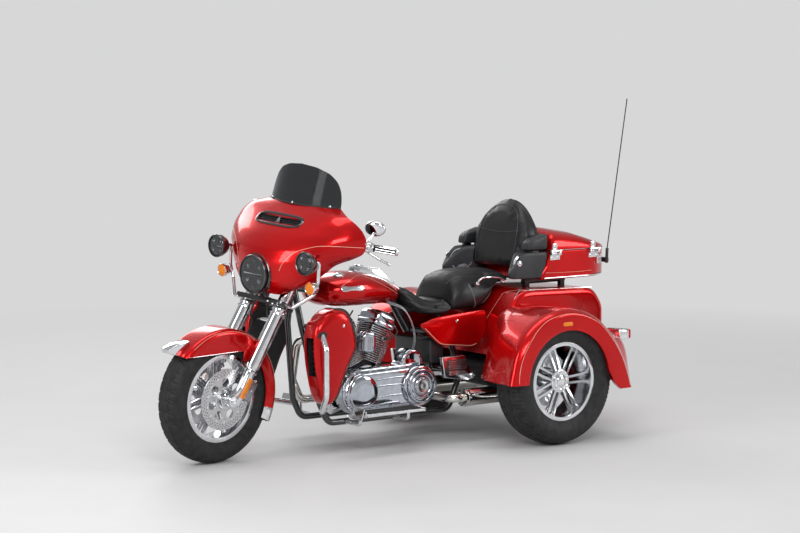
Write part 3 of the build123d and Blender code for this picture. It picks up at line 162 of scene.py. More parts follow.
def arc3(a, b, c, count):
    """An arc through three points in a plane."""
    (ax, ay), (bx, by), (cx, cy) = a, b, c
    d = 2 * (ax * (by - cy) + bx * (cy - ay) + cx * (ay - by))
    aa, bb, cc = ax**2 + ay**2, bx**2 + by**2, cx**2 + cy**2
    ux = (aa * (by - cy) + bb * (cy - ay) + cc * (ay - by)) / d
    uy = (aa * (cx - bx) + bb * (ax - cx) + cc * (bx - ax)) / d
    r = sqrt((ax - ux)**2 + (ay - uy)**2)
    t0, t1, t2 = (math.atan2(y - uy, x - ux) for x, y in (a, b, c))
    if (t1 - t0) % (2 * pi) > (t2 - t0) % (2 * pi):
        t2 = t0 - (t0 - t2) % (2 * pi)
    else:
        t2 = t0 + (t2 - t0) % (2 * pi)
    return [(ux + r * cos(t), uy + r * sin(t)) for t in np.linspace(t0, t2, count)]


def round_rect(half_x, half_y, corner, count=7):
    points = []
    for a, b, start in ((1, 1, 0), (-1, 1, 90), (-1, -1, 180), (1, -1, 270)):
        points += arc_points((a * (half_x - corner), b * (half_y - corner)), corner, start, start + 90, count)
    return points


def bulge(value, power):
    """A sine or cosine squared up or out, with its sign kept."""
    return abs(value)**power * (1 if value > 0 else -1)


def graph(places, values):
    """A function that reads values at places, straight between them."""
    return lambda x: float(np.interp(x, places, values))


def layers(outline, middle, steps, side=1):
    """The outline, in X and Z, shrunk about its middle at each (Y, share) of steps."""
    return [[(x, side * y, z) for x, z in middle + (outline - middle) * s] for y, s in steps]


def grid_faces(rows, columns, wrap_rows=False, wrap_columns=False, offset=0, flip=False):
    faces = []
    for i in range(rows if wrap_rows else rows - 1):
        for j in range(columns if wrap_columns else columns - 1):
            below, k = (i + 1) % rows * columns, (j + 1) % columns
            face = (i * columns + j, i * columns + k, below + k, below + j)
            faces.append(tuple(v + offset for v in (face[::-1] if flip else face)))
    return faces


def ring_faces(rings, count, first=True, last=True):
    """The faces of a closed form over rings of count points, with its ends."""
    faces = grid_faces(rings, count, wrap_columns=True)
    if first:
        faces.append(tuple(range(count)))
    if last:
        faces.append(tuple((rings - 1) * count + k for k in range(count))[::-1])
    return faces


# ---------------------------------------------------------------- meshes
def new_object(name, vertices, faces, material, body, smooth=40, recalc=True, index=None):
    """A mesh on a body; material may be a list, and index then says which face has which."""
    mesh = bpy.data.meshes.new(name)
    spots = [tuple(v) for v in place(vertices, body in STEERED)]
    mesh.from_pydata(spots, [], [tuple(int(k) for k in f) for f in faces])
    for m in material if isinstance(material, (list, tuple)) else [material]:
        mesh.materials.append(m)
    if index is not None:
        mesh.polygons.foreach_set("material_index", index)
    mesh.validate()
    obj = link_object(name, mesh)
    with_bmesh(obj, lambda bm: weld(bm, recalc, smooth))
    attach(obj, body)
    return obj


def link_object(name, data):
    obj = bpy.data.objects.new(name, data)
    bpy.context.scene.collection.objects.link(obj)
    return obj


def with_bmesh(obj, change):
    bm = bmesh.new()
    bm.from_mesh(obj.data)
    change(bm)
    bm.to_mesh(obj.data)
    bm.free()


def weld(bm, recalc, smooth):
    """Joins doubled points and smooths all edges but the sharp ones."""
    bmesh.ops.remove_doubles(bm, verts=bm.verts, dist=0.00001)
    for f in bm.faces:
        f.smooth = True
    mark_sharp(bm, recalc, smooth, keep=True)


def mark_sharp(bm, recalc, smooth, keep=False):
    if recalc:
        bmesh.ops.recalc_face_normals(bm, faces=bm.faces)
    for e in bm.edges:
        sharp = len(e.link_faces) == 2 and e.calc_face_angle(0) > radians(smooth)
        e.smooth = not sharp and (not keep or e.smooth)


def apply_modifiers(obj):
    bpy.context.view_layer.update()
    mesh = bpy.data.meshes.new_from_object(obj.evaluated_get(bpy.context.evaluated_depsgraph_get()))
    obj.modifiers.clear()
    obj.data = mesh


def thicken(obj, thickness):
    """Gives an open skin a wall on its inner side."""
    m = obj.modifiers.new("wall", "SOLIDIFY")
    m.thickness, m.offset = thickness / 1000, -1
    apply_modifiers(obj)
    return obj


def skin(name, rows, material, body="chassis", wall=3.0, smooth=42, keep=None, flip=False, wrap=False):
    """A thin-walled panel over a grid of points; keep(x, y, z) drops the cells where it is false."""
    rows = np.asarray(rows, float)
    points = rows.reshape(-1, 3)
    faces = grid_faces(*rows.shape[:2], wrap_columns=wrap, flip=flip)
    if keep:
        faces = [f for f in faces if keep(*points[list(f)].mean(0))]
    obj = new_object(name, points, faces, material, body, smooth, False)
    if wall:
        thicken(obj, wall)
    with_bmesh(obj, lambda bm: mark_sharp(bm, not wall, smooth))
    return obj


def flat_panel(name, points, material, wall):
    panel = new_object(name, points, [tuple(range(len(points)))], material, "chassis")
    return thicken(panel, wall)


def closed_form(name, rows, material):
    """A solid form over rings of points, closed at both ends."""
    rows = np.asarray(rows, float)
    return new_object(name, rows.reshape(-1, 3), ring_faces(*rows.shape[:2]), material, "chassis", 60)


class Kit:
    """Gathers many small meshes into one."""

    def __init__(self):
        self.v, self.f, self.m = [], [], []

    def add(self, vertices, faces, material=0):
        o = sum(len(x) for x in self.v)
        self.v.append(np.atleast_2d(np.asarray(vertices, float)))
        self.f += [tuple(k + o for k in f) for f in faces]
        self.m += [material] * len(faces)
        return self

    def take(self, other, move):
        """Adds another kit, with its points moved."""
        o = sum(len(x) for x in self.v)
        self.v.append(move(np.concatenate(other.v)))
        self.f += [tuple(k + o for k in f) for f in other.f]
        self.m += other.m

    def rings(self, rows, material=0, first=True, last=True):
        rows = [np.asarray(row, float) for row in rows]
        return self.add(np.concatenate(rows), ring_faces(len(rows), len(rows[0]), first, last), material)

    def disc(self, ring, material=0):
        """One face over a ring of points."""
        return self.add(ring, [tuple(range(len(ring)))], material)

    def lathe(self, profile, centre, axis, segments=48, material=0, caps=True):
        """profile is (radius, distance along the axis) points."""
        axis = np.asarray(axis, float) / np.linalg.norm(axis)
        side = np.cross(axis, UP if abs(axis[2]) < 0.9 else FORWARD)
        side /= np.linalg.norm(side)
        other = np.cross(axis, side)
        a = angles(segments)
        wheel = np.outer(np.cos(a), side) + np.outer(np.sin(a), other)
        rows = [np.asarray(centre) + h * axis + r * wheel for r, h in profile]
        return self.rings(rows, material, caps, caps)

    def open_lathe(self, profile, centre, axis, segments=48, material=0):
        return self.lathe(profile, centre, axis, segments, material, False)

    def rod(self, start, end, radius, segments=16, material=0):
        start, end = np.asarray(start, float), np.asarray(end, float)
        length = np.linalg.norm(end - start)
        b = radius * 0.12
        profile = [(radius - b, 0), (radius, b), (radius, length - b), (radius - b, length)]
        return self.lathe(profile, start, end - start, segments, material)

    def tube(self, path, radius, segments=14, material=0):
        """A round tube through smooth points."""
        p = np.asarray(path, float)
        t = np.gradient(p, axis=0)
        t /= np.linalg.norm(t, axis=1)[:, None]
        side = np.cross(t[0], UP if abs(t[0][2]) < 0.9 else FORWARD)
        a, rows = angles(segments), []
        for i in range(len(p)):
            side = side - (side @ t[i]) * t[i]
            side /= np.linalg.norm(side)
            other = np.cross(t[i], side)
            rows.append(p[i] + radius * (np.outer(np.cos(a), side) + np.outer(np.sin(a), other)))
        return self.rings(rows, material)

    def bolt(self, centre, axis, radius, height, material=0):
        profile = [(radius, 0), (radius, height * 0.7), (radius * 0.8, height), (radius * 0.45, height),
                   (radius * 0.42, height * 0.55), (0.01, height * 0.55)]
        return self.lathe(profile, centre, axis, 12, material)

    def bolt_ring(self, centre, y, out, circle, turns, radius, height, material=0):
        """Bolts at turns, in degrees, on an upright circle about centre."""
        for t in turns:
            self.bolt(around(centre, circle, t, y), out, radius, height, material)

    def box(self, low, high, material=0, bevel=0.0):
        low, high = np.asarray(low, float), np.asarray(high, float)
        if bevel <= 0:
            x, y, z = zip(low, high)
            v = [(x[i], y[j], z[k]) for i in (0, 1) for j in (0, 1) for k in (0, 1)]
            f = [(0, 1, 3, 2), (4, 6, 7, 5), (0, 4, 5, 1), (2, 3, 7, 6), (0, 2, 6, 4), (1, 5, 7, 3)]
            return self.add(v, f, material)
        bm = bmesh.new()
        bmesh.ops.create_cube(bm, size=1)
        for w in bm.verts:
            w.co = Vector((low + high) / 2) + Vector([w.co[i] * (high - low)[i] for i in range(3)])
        bmesh.ops.bevel(bm, geom=bm.edges[:], offset=bevel, segments=3, profile=0.5, affect="EDGES")
        bm.verts.index_update()
        v, f = [tuple(w.co) for w in bm.verts], [tuple(w.index for w in g.verts) for g in bm.faces]
        bm.free()
        return self.add(v, f, material)

    def mirrored(self):
        """The same again on the other side."""
        o = sum(len(x) for x in self.v)
        self.v.append(np.concatenate(self.v) * [1, -1, 1])
        self.f += [tuple(k + o for k in f[::-1]) for f in self.f]
        self.m += list(self.m)
        return self

    def build(self, name, materials, body="chassis", slot=None, stands_for=None, smooth=40):
        points = np.concatenate(self.v)
        obj = new_object(name, points, self.f, materials, body, smooth, True, self.m)
        if stands_for:
            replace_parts(obj, stands_for)
        return obj


def join_flat_faces(bm):
    bmesh.ops.dissolve_limit(bm, angle_limit=radians(1.0), verts=bm.verts, edges=bm.edges)


def dress(node, material, bevel=0.0, segments=2, slot=None, smooth=32):
    """A copy of a CAD node with its edges rounded, standing for it."""
    source = frame["nodes"][node]
    obj = link_object(node + "_dressed", source.data.copy())
    if obj.data.attributes.get("custom_normal"):
        obj.data.attributes.remove(obj.data.attributes["custom_normal"])
    obj.data.materials.clear()
    obj.data.materials.append(material)
    with_bmesh(obj, lambda bm: weld(bm, True, 180))
    with_bmesh(obj, join_flat_faces)
    if bevel > 0:
        m = obj.modifiers.new("round", "BEVEL")
        m.width, m.segments, m.limit_method, m.angle_limit = bevel / 1000, segments, "ANGLE", radians(smooth)
        m.harden_normals = False
        m.use_clamp_overlap = True
        apply_modifiers(obj)
    with_bmesh(obj, lambda bm: mark_sharp(bm, False, 38))
    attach(obj, source["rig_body"])
    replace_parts(obj, node)
    return obj


# ---------------------------------------------------------------- materials
class Nodes:
    """A material's node tree, with the object's own coordinates as where."""

    def __init__(self, name):
        self.material = bpy.data.materials.new(name)
        self.material.use_nodes = True
        self.tree = self.material.node_tree
        self.shader = self.tree.nodes["Principled BSDF"]
        self.where = self.add("ShaderNodeTexCoord").outputs["Object"]
        self.last_bump = None

    def add(self, kind, **settings):
        node = self.tree.nodes.new(kind)
        for key, value in settings.items():
            if key in node.inputs:
                node.inputs[key].default_value = value
            else:
                setattr(node, key, value)
        return node

    def link(self, a, b):
        self.tree.links.new(a, b)

    def noise(self, scale, detail=3.0):
        n = self.add("ShaderNodeTexNoise", Scale=scale, Detail=detail, Roughness=0.5)
        self.link(self.where, n.inputs["Vector"])
        return n.outputs["Fac"]

    def cells(self, scale, feature="F1"):
        n = self.add("ShaderNodeTexVoronoi", Scale=scale, Randomness=1.0)
        n.feature = feature
        self.link(self.where, n.inputs["Vector"])
        return n.outputs["Distance"]

    def ramp(self, value, low, high, start=0.0, end=1.0):
        """value from start to end becomes a colour or number from low to high."""
        n = self.add("ShaderNodeMapRange")
        n.inputs["From Min"].default_value, n.inputs["From Max"].default_value = start, end
        self.link(value, n.inputs["Value"])
        if isinstance(low, (tuple, list)):
            mix = self.add("ShaderNodeMix", data_type="RGBA")
            self.link(n.outputs["Result"], mix.inputs["Factor"])
            mix.inputs[6].default_value, mix.inputs[7].default_value = (*low, 1), (*high, 1)
            return mix.outputs[2]
        n.inputs["To Min"].default_value, n.inputs["To Max"].default_value = low, high
        return n.outputs["Result"]

    def math(self, operation, a, b):
        n = self.add("ShaderNodeMath", operation=operation)
        self.link(a, n.inputs[0])
        self.link(b, n.inputs[1])
        return n.outputs[0]

    def bump(self, height, strength, distance):
        n = self.add("ShaderNodeBump", Strength=strength, Distance=distance)
        self.link(height, n.inputs["Height"])
        if self.last_bump:
            self.link(self.last_bump, n.inputs["Normal"])
        self.last_bump = n.outputs["Normal"]
        self.link(n.outputs["Normal"], self.shader.inputs["Normal"])

    def set(self, **values):
        for key, value in values.items():
            socket = self.shader.inputs[key.replace("_", " ")]
            if hasattr(value, "is_linked"):
                self.link(value, socket)
            else:
                colour = isinstance(value, (tuple, list)) and len(value) == 3
                socket.default_value = (*value, 1) if colour else value
        return self


def shaded(colour, share):
    return [c * share for c in colour]


def candy(name, deep, bright, rough=0.22):
    n = Nodes(name)
    colour = n.ramp(n.noise(2.3, 2), deep, bright, 0.3, 0.75)
    n.set(Base_Color=colour, Metallic=0.6, Roughness=n.ramp(n.noise(900, 1), rough - 0.04, rough + 0.08),
          Specular_IOR_Level=0.1, Coat_Weight=0.7, Coat_Roughness=0.03, Coat_IOR=1.36)
    n.bump(n.cells(2600), 0.02, 0.0002)
    return n.material


def metal(name, colour, rough, spread=0.05, scale=60, bump=0.0, bump_scale=400, wear=None):
    n = Nodes(name)
    fac = n.noise(scale, 4)
    n.set(Base_Color=n.ramp(fac, wear or shaded(colour, 0.86), colour, 0.3, 0.6), Metallic=1.0,
          Roughness=n.ramp(fac, rough + spread, max(rough - spread, 0.02), 0.3, 0.7))
    if bump:
        n.bump(n.noise(bump_scale, 3), bump, 0.0006)
    return n.material


def plastic(name, colour, rough, bump=0.15, scale=900, coat=0.0, metallic=0.0):
    n = Nodes(name)
    n.set(Base_Color=n.ramp(n.noise(14, 4), shaded(colour, 0.75), colour, 0.35, 0.65), Metallic=metallic,
          Roughness=n.ramp(n.noise(45, 3), rough - 0.05, rough + 0.07), Coat_Weight=coat, Coat_Roughness=0.05)
    if bump:
        n.bump(n.cells(scale), bump, 0.0004)
    return n.material


def leather(name, colour):
    n = Nodes(name)
    grain = n.cells(420, "SMOOTH_F1")
    n.set(Base_Color=n.ramp(n.noise(9, 4), shaded(colour, 0.7), shaded(colour, 1.5), 0.3, 0.7),
          Roughness=n.ramp(grain, 0.32, 0.48, 0.0, 0.9), Specular_IOR_Level=0.38)
    n.bump(grain, 0.28, 0.0009)
    n.bump(n.noise(60, 4), 0.18, 0.0012)
    return n.material


def tyre_rubber(name):
    n = Nodes(name)
    n.set(Base_Color=n.ramp(n.noise(30, 5), (0.008, 0.008, 0.009), (0.024, 0.023, 0.023), 0.3, 0.7),
          Roughness=n.ramp(n.noise(70, 3), 0.5, 0.72), Specular_IOR_Level=0.32)
    n.bump(n.noise(700, 3), 0.2, 0.0005)
    return n.material


def lens(name, colour, rough, transmission, ior, coat):
    n = Nodes(name)
    n.set(Base_Color=n.ramp(n.noise(5, 2), shaded(colour, 0.93), colour), Roughness=rough,
          Transmission_Weight=transmission, IOR=ior, Coat_Weight=coat)
    return n.material


def glowing_lens(name, colour):
    n = Nodes(name)
    ribs = n.add("ShaderNodeTexWave", Scale=160.0, Distortion=0.0)
    n.link(n.where, ribs.inputs["Vector"])
    n.set(Base_Color=n.ramp(n.noise(40, 2), shaded(colour, 0.75), colour), Roughness=0.12,
          Specular_IOR_Level=0.25, Coat_Weight=0.4, Coat_Roughness=0.03, Coat_IOR=1.35,
          Subsurface_Weight=0.15)
    n.shader.inputs["Subsurface Radius"].default_value = (0.01, 0.004, 0.002)
    n.bump(ribs.outputs["Fac"], 0.25, 0.0008)
    return n.material


RED = candy("candy_red", (0.46, 0.002, 0.003), (0.62, 0.004, 0.005))
# The body red made darker: painted shade for the fenders' inner walls beside the trunk.
SHADE_RED = candy("candy_red_painted_shade", (0.16, 0.002, 0.004), (0.24, 0.004, 0.006))
STRIPE = plastic("pinstripe_paint", (0.80, 0.42, 0.30), 0.28, 0.0, coat=0.6)
CHROME = metal("chrome_plate", (0.80, 0.81, 0.83), 0.06, 0.03, 35)
SHADED_CHROME = metal("shaded_chrome", (0.50, 0.53, 0.58), 0.09, 0.04, 35)
CHROME_SOFT = metal("chrome_worn", (0.78, 0.79, 0.80), 0.14, 0.05, 50)
CAST = metal("cast_aluminium", (0.36, 0.37, 0.39), 0.34, 0.08, 90, 0.25, 700)
DARK_CAST = metal("dark_casting", (0.035, 0.035, 0.04), 0.5, 0.08, 90, 0.25, 700)
MACHINED = metal("machined_rim", (0.74, 0.75, 0.77), 0.17, 0.05, 120, 0.05, 2000)
FIN_METAL = metal("fin_metal", (0.62, 0.63, 0.64), 0.24, 0.06, 90)
DISC_STEEL = metal("disc_steel", (0.58, 0.58, 0.59), 0.28, 0.08, 160, 0.08, 1500)
GLOSS_BLACK = plastic("gloss_black_paint", (0.012, 0.012, 0.014), 0.16, 0.0, coat=1.0)
SATIN_BLACK = plastic("satin_black", (0.018, 0.018, 0.02), 0.4, 0.12, 1300)
TEXTURED_BLACK = plastic("textured_black", (0.022, 0.022, 0.023), 0.55, 0.45, 1100)
RUBBER = plastic("moulded_rubber", (0.018, 0.018, 0.018), 0.62, 0.2, 700)
TYRE = tyre_rubber("tyre_rubber")
LEATHER = leather("black_leather", (0.007, 0.007, 0.008))
LEATHER_GREY = leather("dark_grey_leather", (0.022, 0.023, 0.026))
THREAD = plastic("stitching_thread", (0.05, 0.05, 0.052), 0.6, 0.3, 1500)
PIPING = leather("piping", (0.15, 0.155, 0.16))
PIPING_DARK = leather("piping_dark", (0.03, 0.03, 0.032))
SMOKED = lens("smoked_screen", (0.055, 0.057, 0.06), 0.08, 0.92, 1.14, 0.04)
CLEAR = lens("clear_lens", (0.94, 0.95, 0.97), 0.02, 1.0, 1.16, 0.1)
LENS_GLASS = plastic("projector_lens", (0.20, 0.22, 0.25), 0.06, 0.0, coat=1.0, metallic=0.6)
AMBER = glowing_lens("amber_lens", (0.85, 0.24, 0.01))
RED_LENS = glowing_lens("red_lens", (0.60, 0.006, 0.008))
BLACK_LAMP = plastic("black_lamp_body", (0.01, 0.01, 0.012), 0.2, 0.0, coat=1.0)
REFLECTOR = metal("lamp_reflector", (0.86, 0.87, 0.9), 0.1, 0.04, 200)
PIPE_METAL = metal("exhaust_chrome", (0.84, 0.83, 0.80), 0.10, 0.05, 30, wear=(0.72, 0.68, 0.6))
BADGE = metal("silver_badge", (0.72, 0.73, 0.75), 0.22, 0.05, 120)
GRILLE = metal("dark_mesh", (0.09, 0.09, 0.10), 0.4, 0.1, 300, 0.5, 900)
MIRROR = metal("mirror_glass", (0.88, 0.9, 0.92), 0.02, 0.01, 20)


# ---------------------------------------------------------------- camera, floor and light
PALE = 0.68  # the backdrop's grey, which the far floor fades into
EYE_TARGET = Vector((546.7 - SHIFT, 0, 886.3)) / 1000
EYE_TURN, EYE_RISE, EYE_FAR = 0.6418, 0.0963, 12.0  # radians, radians and metres
EYE_LENS, EYE_SENSOR = 106.35, 36.0
PHOTO_WIDTH, PHOTO_HEIGHT = 800, 533
EYE_BACK = Vector((sin(EYE_TURN) * cos(EYE_RISE), cos(EYE_TURN) * cos(EYE_RISE), sin(EYE_RISE)))
EYE = EYE_TARGET + EYE_FAR * EYE_BACK


def aim_at(obj, place_at, target):
    obj.location = place_at
    obj.rotation_euler = (Vector(target) - Vector(place_at)).to_track_quat("-Z", "Y").to_euler()


def set_camera():
    camera = bpy.data.cameras.new("camera")
    camera.lens, camera.sensor_width, camera.clip_end = EYE_LENS, EYE_SENSOR, 200
    shot = link_object("camera", camera)
    aim_at(shot, EYE, EYE_TARGET)
    bpy.context.scene.camera = shot


def set_floor():
    """A pale floor that fades into the backdrop's grey where the camera or a reflection sees it."""
    n = Nodes("pale_floor")
    n.set(Base_Color=n.ramp(n.noise(3, 3), (0.56, 0.56, 0.565), (0.60, 0.60, 0.605)), Roughness=0.6)
    far = n.add("ShaderNodeVectorMath", operation="LENGTH")
    n.link(n.where, far.inputs[0])
    fade = n.ramp(far.outputs["Value"], 0.0, 1.0, 2.4, 6.5)
    path = n.add("ShaderNodeLightPath")
    seen = path.outputs["Is Camera Ray"]
    for other in ("Is Glossy Ray", "Is Transmission Ray"):
        seen = n.math("MAXIMUM", seen, path.outputs[other])
    glow = n.add("ShaderNodeEmission", Color=(PALE, PALE, PALE, 1), Strength=1.0)
    mix = n.add("ShaderNodeMixShader")
    n.link(n.math("MULTIPLY", fade, seen), mix.inputs[0])
    n.link(n.shader.outputs[0], mix.inputs[1])
    n.link(glow.outputs[0], mix.inputs[2])
    n.link(mix.outputs[0], n.tree.nodes["Material Output"].inputs["Surface"])
    mesh = bpy.data.meshes.new("floor")
    mesh.from_pydata([(-60, -60, 0), (60, -60, 0), (60, 60, 0), (-60, 60, 0)], [], [(0, 1, 2, 3)])
    mesh.materials.append(n.material)
    link_object("floor", mesh)


def set_backdrop():
    """A studio sky: pale at the horizon, darker above it, and bright overhead."""
    world = bpy.data.worlds.new("studio")
    bpy.context.scene.world = world
    world.use_nodes = True
    nodes, links = world.node_tree.nodes, world.node_tree.links
    coordinates = nodes.new("ShaderNodeTexCoord")
    split = nodes.new("ShaderNodeSeparateXYZ")
    ramp = nodes.new("ShaderNodeValToRGB")
    links.new(coordinates.outputs["Generated"], split.inputs[0])
    links.new(split.outputs["Z"], ramp.inputs[0])
    links.new(ramp.outputs[0], nodes["Background"].inputs[0])
    nodes["Background"].inputs[1].default_value = 1.0
    stops = [(0.0, PALE), (0.08, PALE), (0.24, 0.30), (0.55, 0.34), (1.0, 0.62)]
    elements = ramp.color_ramp.elements
    elements[0].position, elements[1].position = stops[0][0], stops[-1][0]
    for position, _ in stops[1:-1]:
        elements.new(position)
    for element, (_, value) in zip(elements, stops):
        element.color = (value, value, value * 1.01, 1)


LIGHTS = (  # name, place, aim, size, power
    ("key", (3.5, 5.5, 4.5), (0, 0, 0.6), (3.5, 2.2), 230),
    ("front", (6.0, 0.5, 2.6), (0.5, 0, 0.7), (1.2, 3.2), 110),
    ("fill", (-4.5, 4.5, 3.0), (-0.3, 0, 0.6), (2.0, 3.0), 130),
    ("far", (-1.0, -6.0, 4.0), (0, 0, 0.6), (5.0, 2.0), 150),
    ("top", (0.0, 0.0, 6.5), (0, 0, 0), (5.0, 2.5), 120))


def set_lights():
    for name, place_at, aim, size, power in LIGHTS:
        light = bpy.data.lights.new(name, "AREA")
        light.shape, light.size, light.size_y, light.energy = "RECTANGLE", *size, power
        aim_at(link_object(name, light), place_at, aim)
    bpy.context.scene.view_settings.view_transform = "Standard"


set_camera()
set_floor()
set_backdrop()
set_lights()


# ---------------------------------------------------------------- wheels and tyres
TREAD_DEPTH, RIB_HALF, EDGE_RISE = 5.5, 0.035, 0.9


def tyre(radius, width, bead, blocks, grooves, name, node, body, centre):
    """A tyre with its tread cut in; a groove is (phase, half width, skew, start, end), across as shares."""
    half, wall = width / 2, radius - bead
    outline = [(bead + 2, half * 0.66), (bead + 5, half * 0.72), (bead + 16, half * 0.80)]
    outline += [(bead + wall * up, half * out)
                for up, out in ((0.36, 0.955), (0.5, 0.985), (0.66, 0.965), (0.83, 0.86))]
    outline += [(radius - half * 0.105, half * 0.62), (radius - half * 0.028, half * 0.34), (radius, 0.0)]
    curve = resample(smooth_table(outline, 60), 40)
    section = np.concatenate([curve, curve[-2::-1] * [1, -1]])
    columns, turns = len(section), blocks * 10
    a = angles(turns)[:, None]
    r, y = (np.repeat(section[:, k][None], turns, 0) for k in (0, 1))
    share = np.abs(y / half)
    depth = np.zeros_like(r)
    on_tread = np.clip((r - (radius - half * 0.36)) / 4.0, 0, 1)
    for middle, half_width, skew, start, end in grooves:
        inside = (share >= start) & (share <= end)
        phase = (a * blocks / (2 * pi) + middle + skew * share) % 1.0
        depth = np.maximum(depth, inside * np.clip((half_width - np.abs(phase - 0.5)) / 0.05, 0, 1))
    for rib in (0.16, 0.47):
        depth = np.maximum(depth, np.clip((RIB_HALF - np.abs(share - rib)) / 0.012, 0, 1) * (on_tread > 0))
    r = r - depth * on_tread * TREAD_DEPTH
    for ring in (0.30, 0.52, 0.70):
        away = (section[:, 0][None] - bead - wall * ring) / 2.2
        y = y + np.sign(y) * EDGE_RISE * np.exp(-away**2) * (on_tread == 0)
    points = np.stack([centre[0] + r * np.cos(a), centre[1] + y, centre[2] + r * np.sin(a)], -1)
    points = points.reshape(-1, 3)
    faces = grid_faces(turns, columns, wrap_rows=True)
    inner = grid_faces(turns, 2, wrap_rows=True)
    faces += [tuple(k // 2 * columns + k % 2 * (columns - 1) for k in f) for f in inner]
    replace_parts(new_object(name, points, faces, TYRE, body, 50), node)


def wheel_trim(name, body, centre, sides, bead, hub_face, lug_radius, cap):
    """Five bolts, a hub cap and a ring on each shown face, and the valve."""
    kit = Kit()
    x, _, z = centre
    for side in sides:
        hub, out = (x, centre[1] + side * hub_face, z), (0, side, 0)
        kit.bolt_ring((x, z), hub[1], out, lug_radius, range(90, 450, 72), 9.5, 9)
        kit.lathe([(cap + 9, -1), (cap + 9, 3), (cap + 4, 6), (cap, 7), (cap, 12), (cap * 0.86, 16),
                   (cap * 0.5, 18.5), (0.2, 19)], hub, out, 48, 1)
        r = lug_radius + 20
        kit.open_lathe([(r, 0), (r, 1.5), (r - 4, 2.5), (r - 6, 0)], hub, out, 64)
    foot, tip = ((x + (bead - in_by) * cos(0.3), centre[1] + sides[0] * y, z + (bead - in_by) * sin(0.3))
                 for in_by, y in ((14, 10), (46, 26)))
    kit.rod(foot, tip, 4, 10, 2)
    kit.build(name, [CHROME_SOFT, CHROME, RUBBER], body, "wheel_metal")


def disc_hole_shades():
    """Black marks painted on both front discs as the shade inside the drilled holes, and the floating ring's
    buttons.
    """
    kit = Kit()
    for side in BOTH:
        for ring, (r, count, size) in enumerate(((140, 42, 2.7), (130.5, 42, 2.7), (120.5, 42, 2.7),
                                                 (111, 14, 6.0))):
            for k in range(count):
                t = 2 * pi * (k + 0.5 * (ring % 2)) / count
                at = (FRONT_AXLE[0] + r * cos(t), side * 77.0, FRONT_AXLE[2] + r * sin(t))
                # The first three rings are black marks, painted shade standing in for the holes; the fourth
                # is the chrome buttons.
                kit.lathe([(size, -0.4), (size, 0.07), (size * 0.6, 0.08), (0.1, 0.08)], at,
                          (0, side, 0), 10, ring // 3)
    kit.build("disc_hole_shade_and_buttons", [SATIN_BLACK, CHROME_SOFT], "front_wheel", "disc_steel")


FRONT_GROOVES = [(0.0, 0.10, 0.55, 0.22, 0.98), (0.5, 0.06, 0.75, 0.50, 0.98)]
REAR_GROOVES = [(0.0, 0.08, 0.35, 0.20, 0.99), (0.5, 0.05, 0.35, 0.50, 0.99)]
FRONT_BEAD, REAR_BEAD = 203, 190.5
tyre(322, 130, FRONT_BEAD, 38, FRONT_GROOVES, "front_tyre_treaded", "front_tyre", "front_wheel", FRONT_AXLE)
wheel_trim("front_hub_trim", "front_wheel", FRONT_AXLE, BOTH, FRONT_BEAD, 76.5, 40, 19)
for side, word in SIDES:
    wheel, axle = "rear_wheel_" + word, np.array([0, side * HALF_TRACK, REAR_AXLE_Z])
    tyre(324, 205, REAR_BEAD, 44, REAR_GROOVES, "rear_tyre_treaded_" + word, "rear_tyre_" + word, wheel, axle)
    wheel_trim("rear_hub_trim_" + word, wheel, axle, (side,), REAR_BEAD, 47, 36, 27)
disc_hole_shades()
DRESSED = (  # node, material, bevel, segments, slot
    ("front_rim", MACHINED, 1.6, 2, "wheel_metal"), ("rear_rim_left", MACHINED, 1.6, 2, "wheel_metal"),
    ("rear_rim_right", MACHINED, 1.6, 2, "wheel_metal"), ("front_discs", DISC_STEEL, 0.6, 1, "disc_steel"),
    ("fork_legs", CHROME, 2.5, 3, None), ("fork_crowns", GLOSS_BLACK, 4, 3, None),
    ("calipers", CAST, 2, 3, None), ("front_axle", CHROME, 2, 3, None),
    ("fender_tip", CHROME_SOFT, 1.2, 3, None), ("lamp_bar", CHROME, 0, 3, None),
    ("fork_reflectors", AMBER, 2.5, 3, None), ("fender_lamp", CHROME, 3, 3, None),
    ("trunk_door", RED, 2.5, 3, "body_paint"), ("tour_rack", SATIN_BLACK, 2, 2, "chrome"),
    ("antenna", SATIN_BLACK, 0.5, 2, "black_plastic"), ("side_markers", AMBER, 1.5, 3, None),
    ("passenger_boards", CHROME_SOFT, 4, 3, None), ("rear_axle_housing", SATIN_BLACK, 3, 3, None),
    ("engine_case", CAST, 5, 3, "case_metal"), ("mufflers", PIPE_METAL, 2.5, 3, "chrome"),
    ("engine_guard", CHROME, 0, 2, "chrome"), ("frame_tubes", GLOSS_BLACK, 0, 2, "frame_paint"),
    ("floorboards", CHROME_SOFT, 2, 3, "chrome"), ("console", CHROME_SOFT, 5, 3, "chrome"),
    ("fuel_door", CHROME, 2.2, 3, "chrome"), ("handlebar", CHROME, 0, 2, "chrome"),
    ("levers", CHROME, 0, 2, "chrome"), ("fairing_inner", TEXTURED_BLACK, 3, 2, "black_plastic"))
for dressed in DRESSED:
    dress(*dressed)
dress("front_fender", RED, 1.4, 2, "body_paint", smooth=50)


# ---------------------------------------------------------------- fork
def fork_point(x, y, up):
    """A point drawn about the axle with Z up the leg, set in place before steering."""
    return turn((x, y, up), LEFT, -FORK_RAKE)[0] + FRONT_AXLE


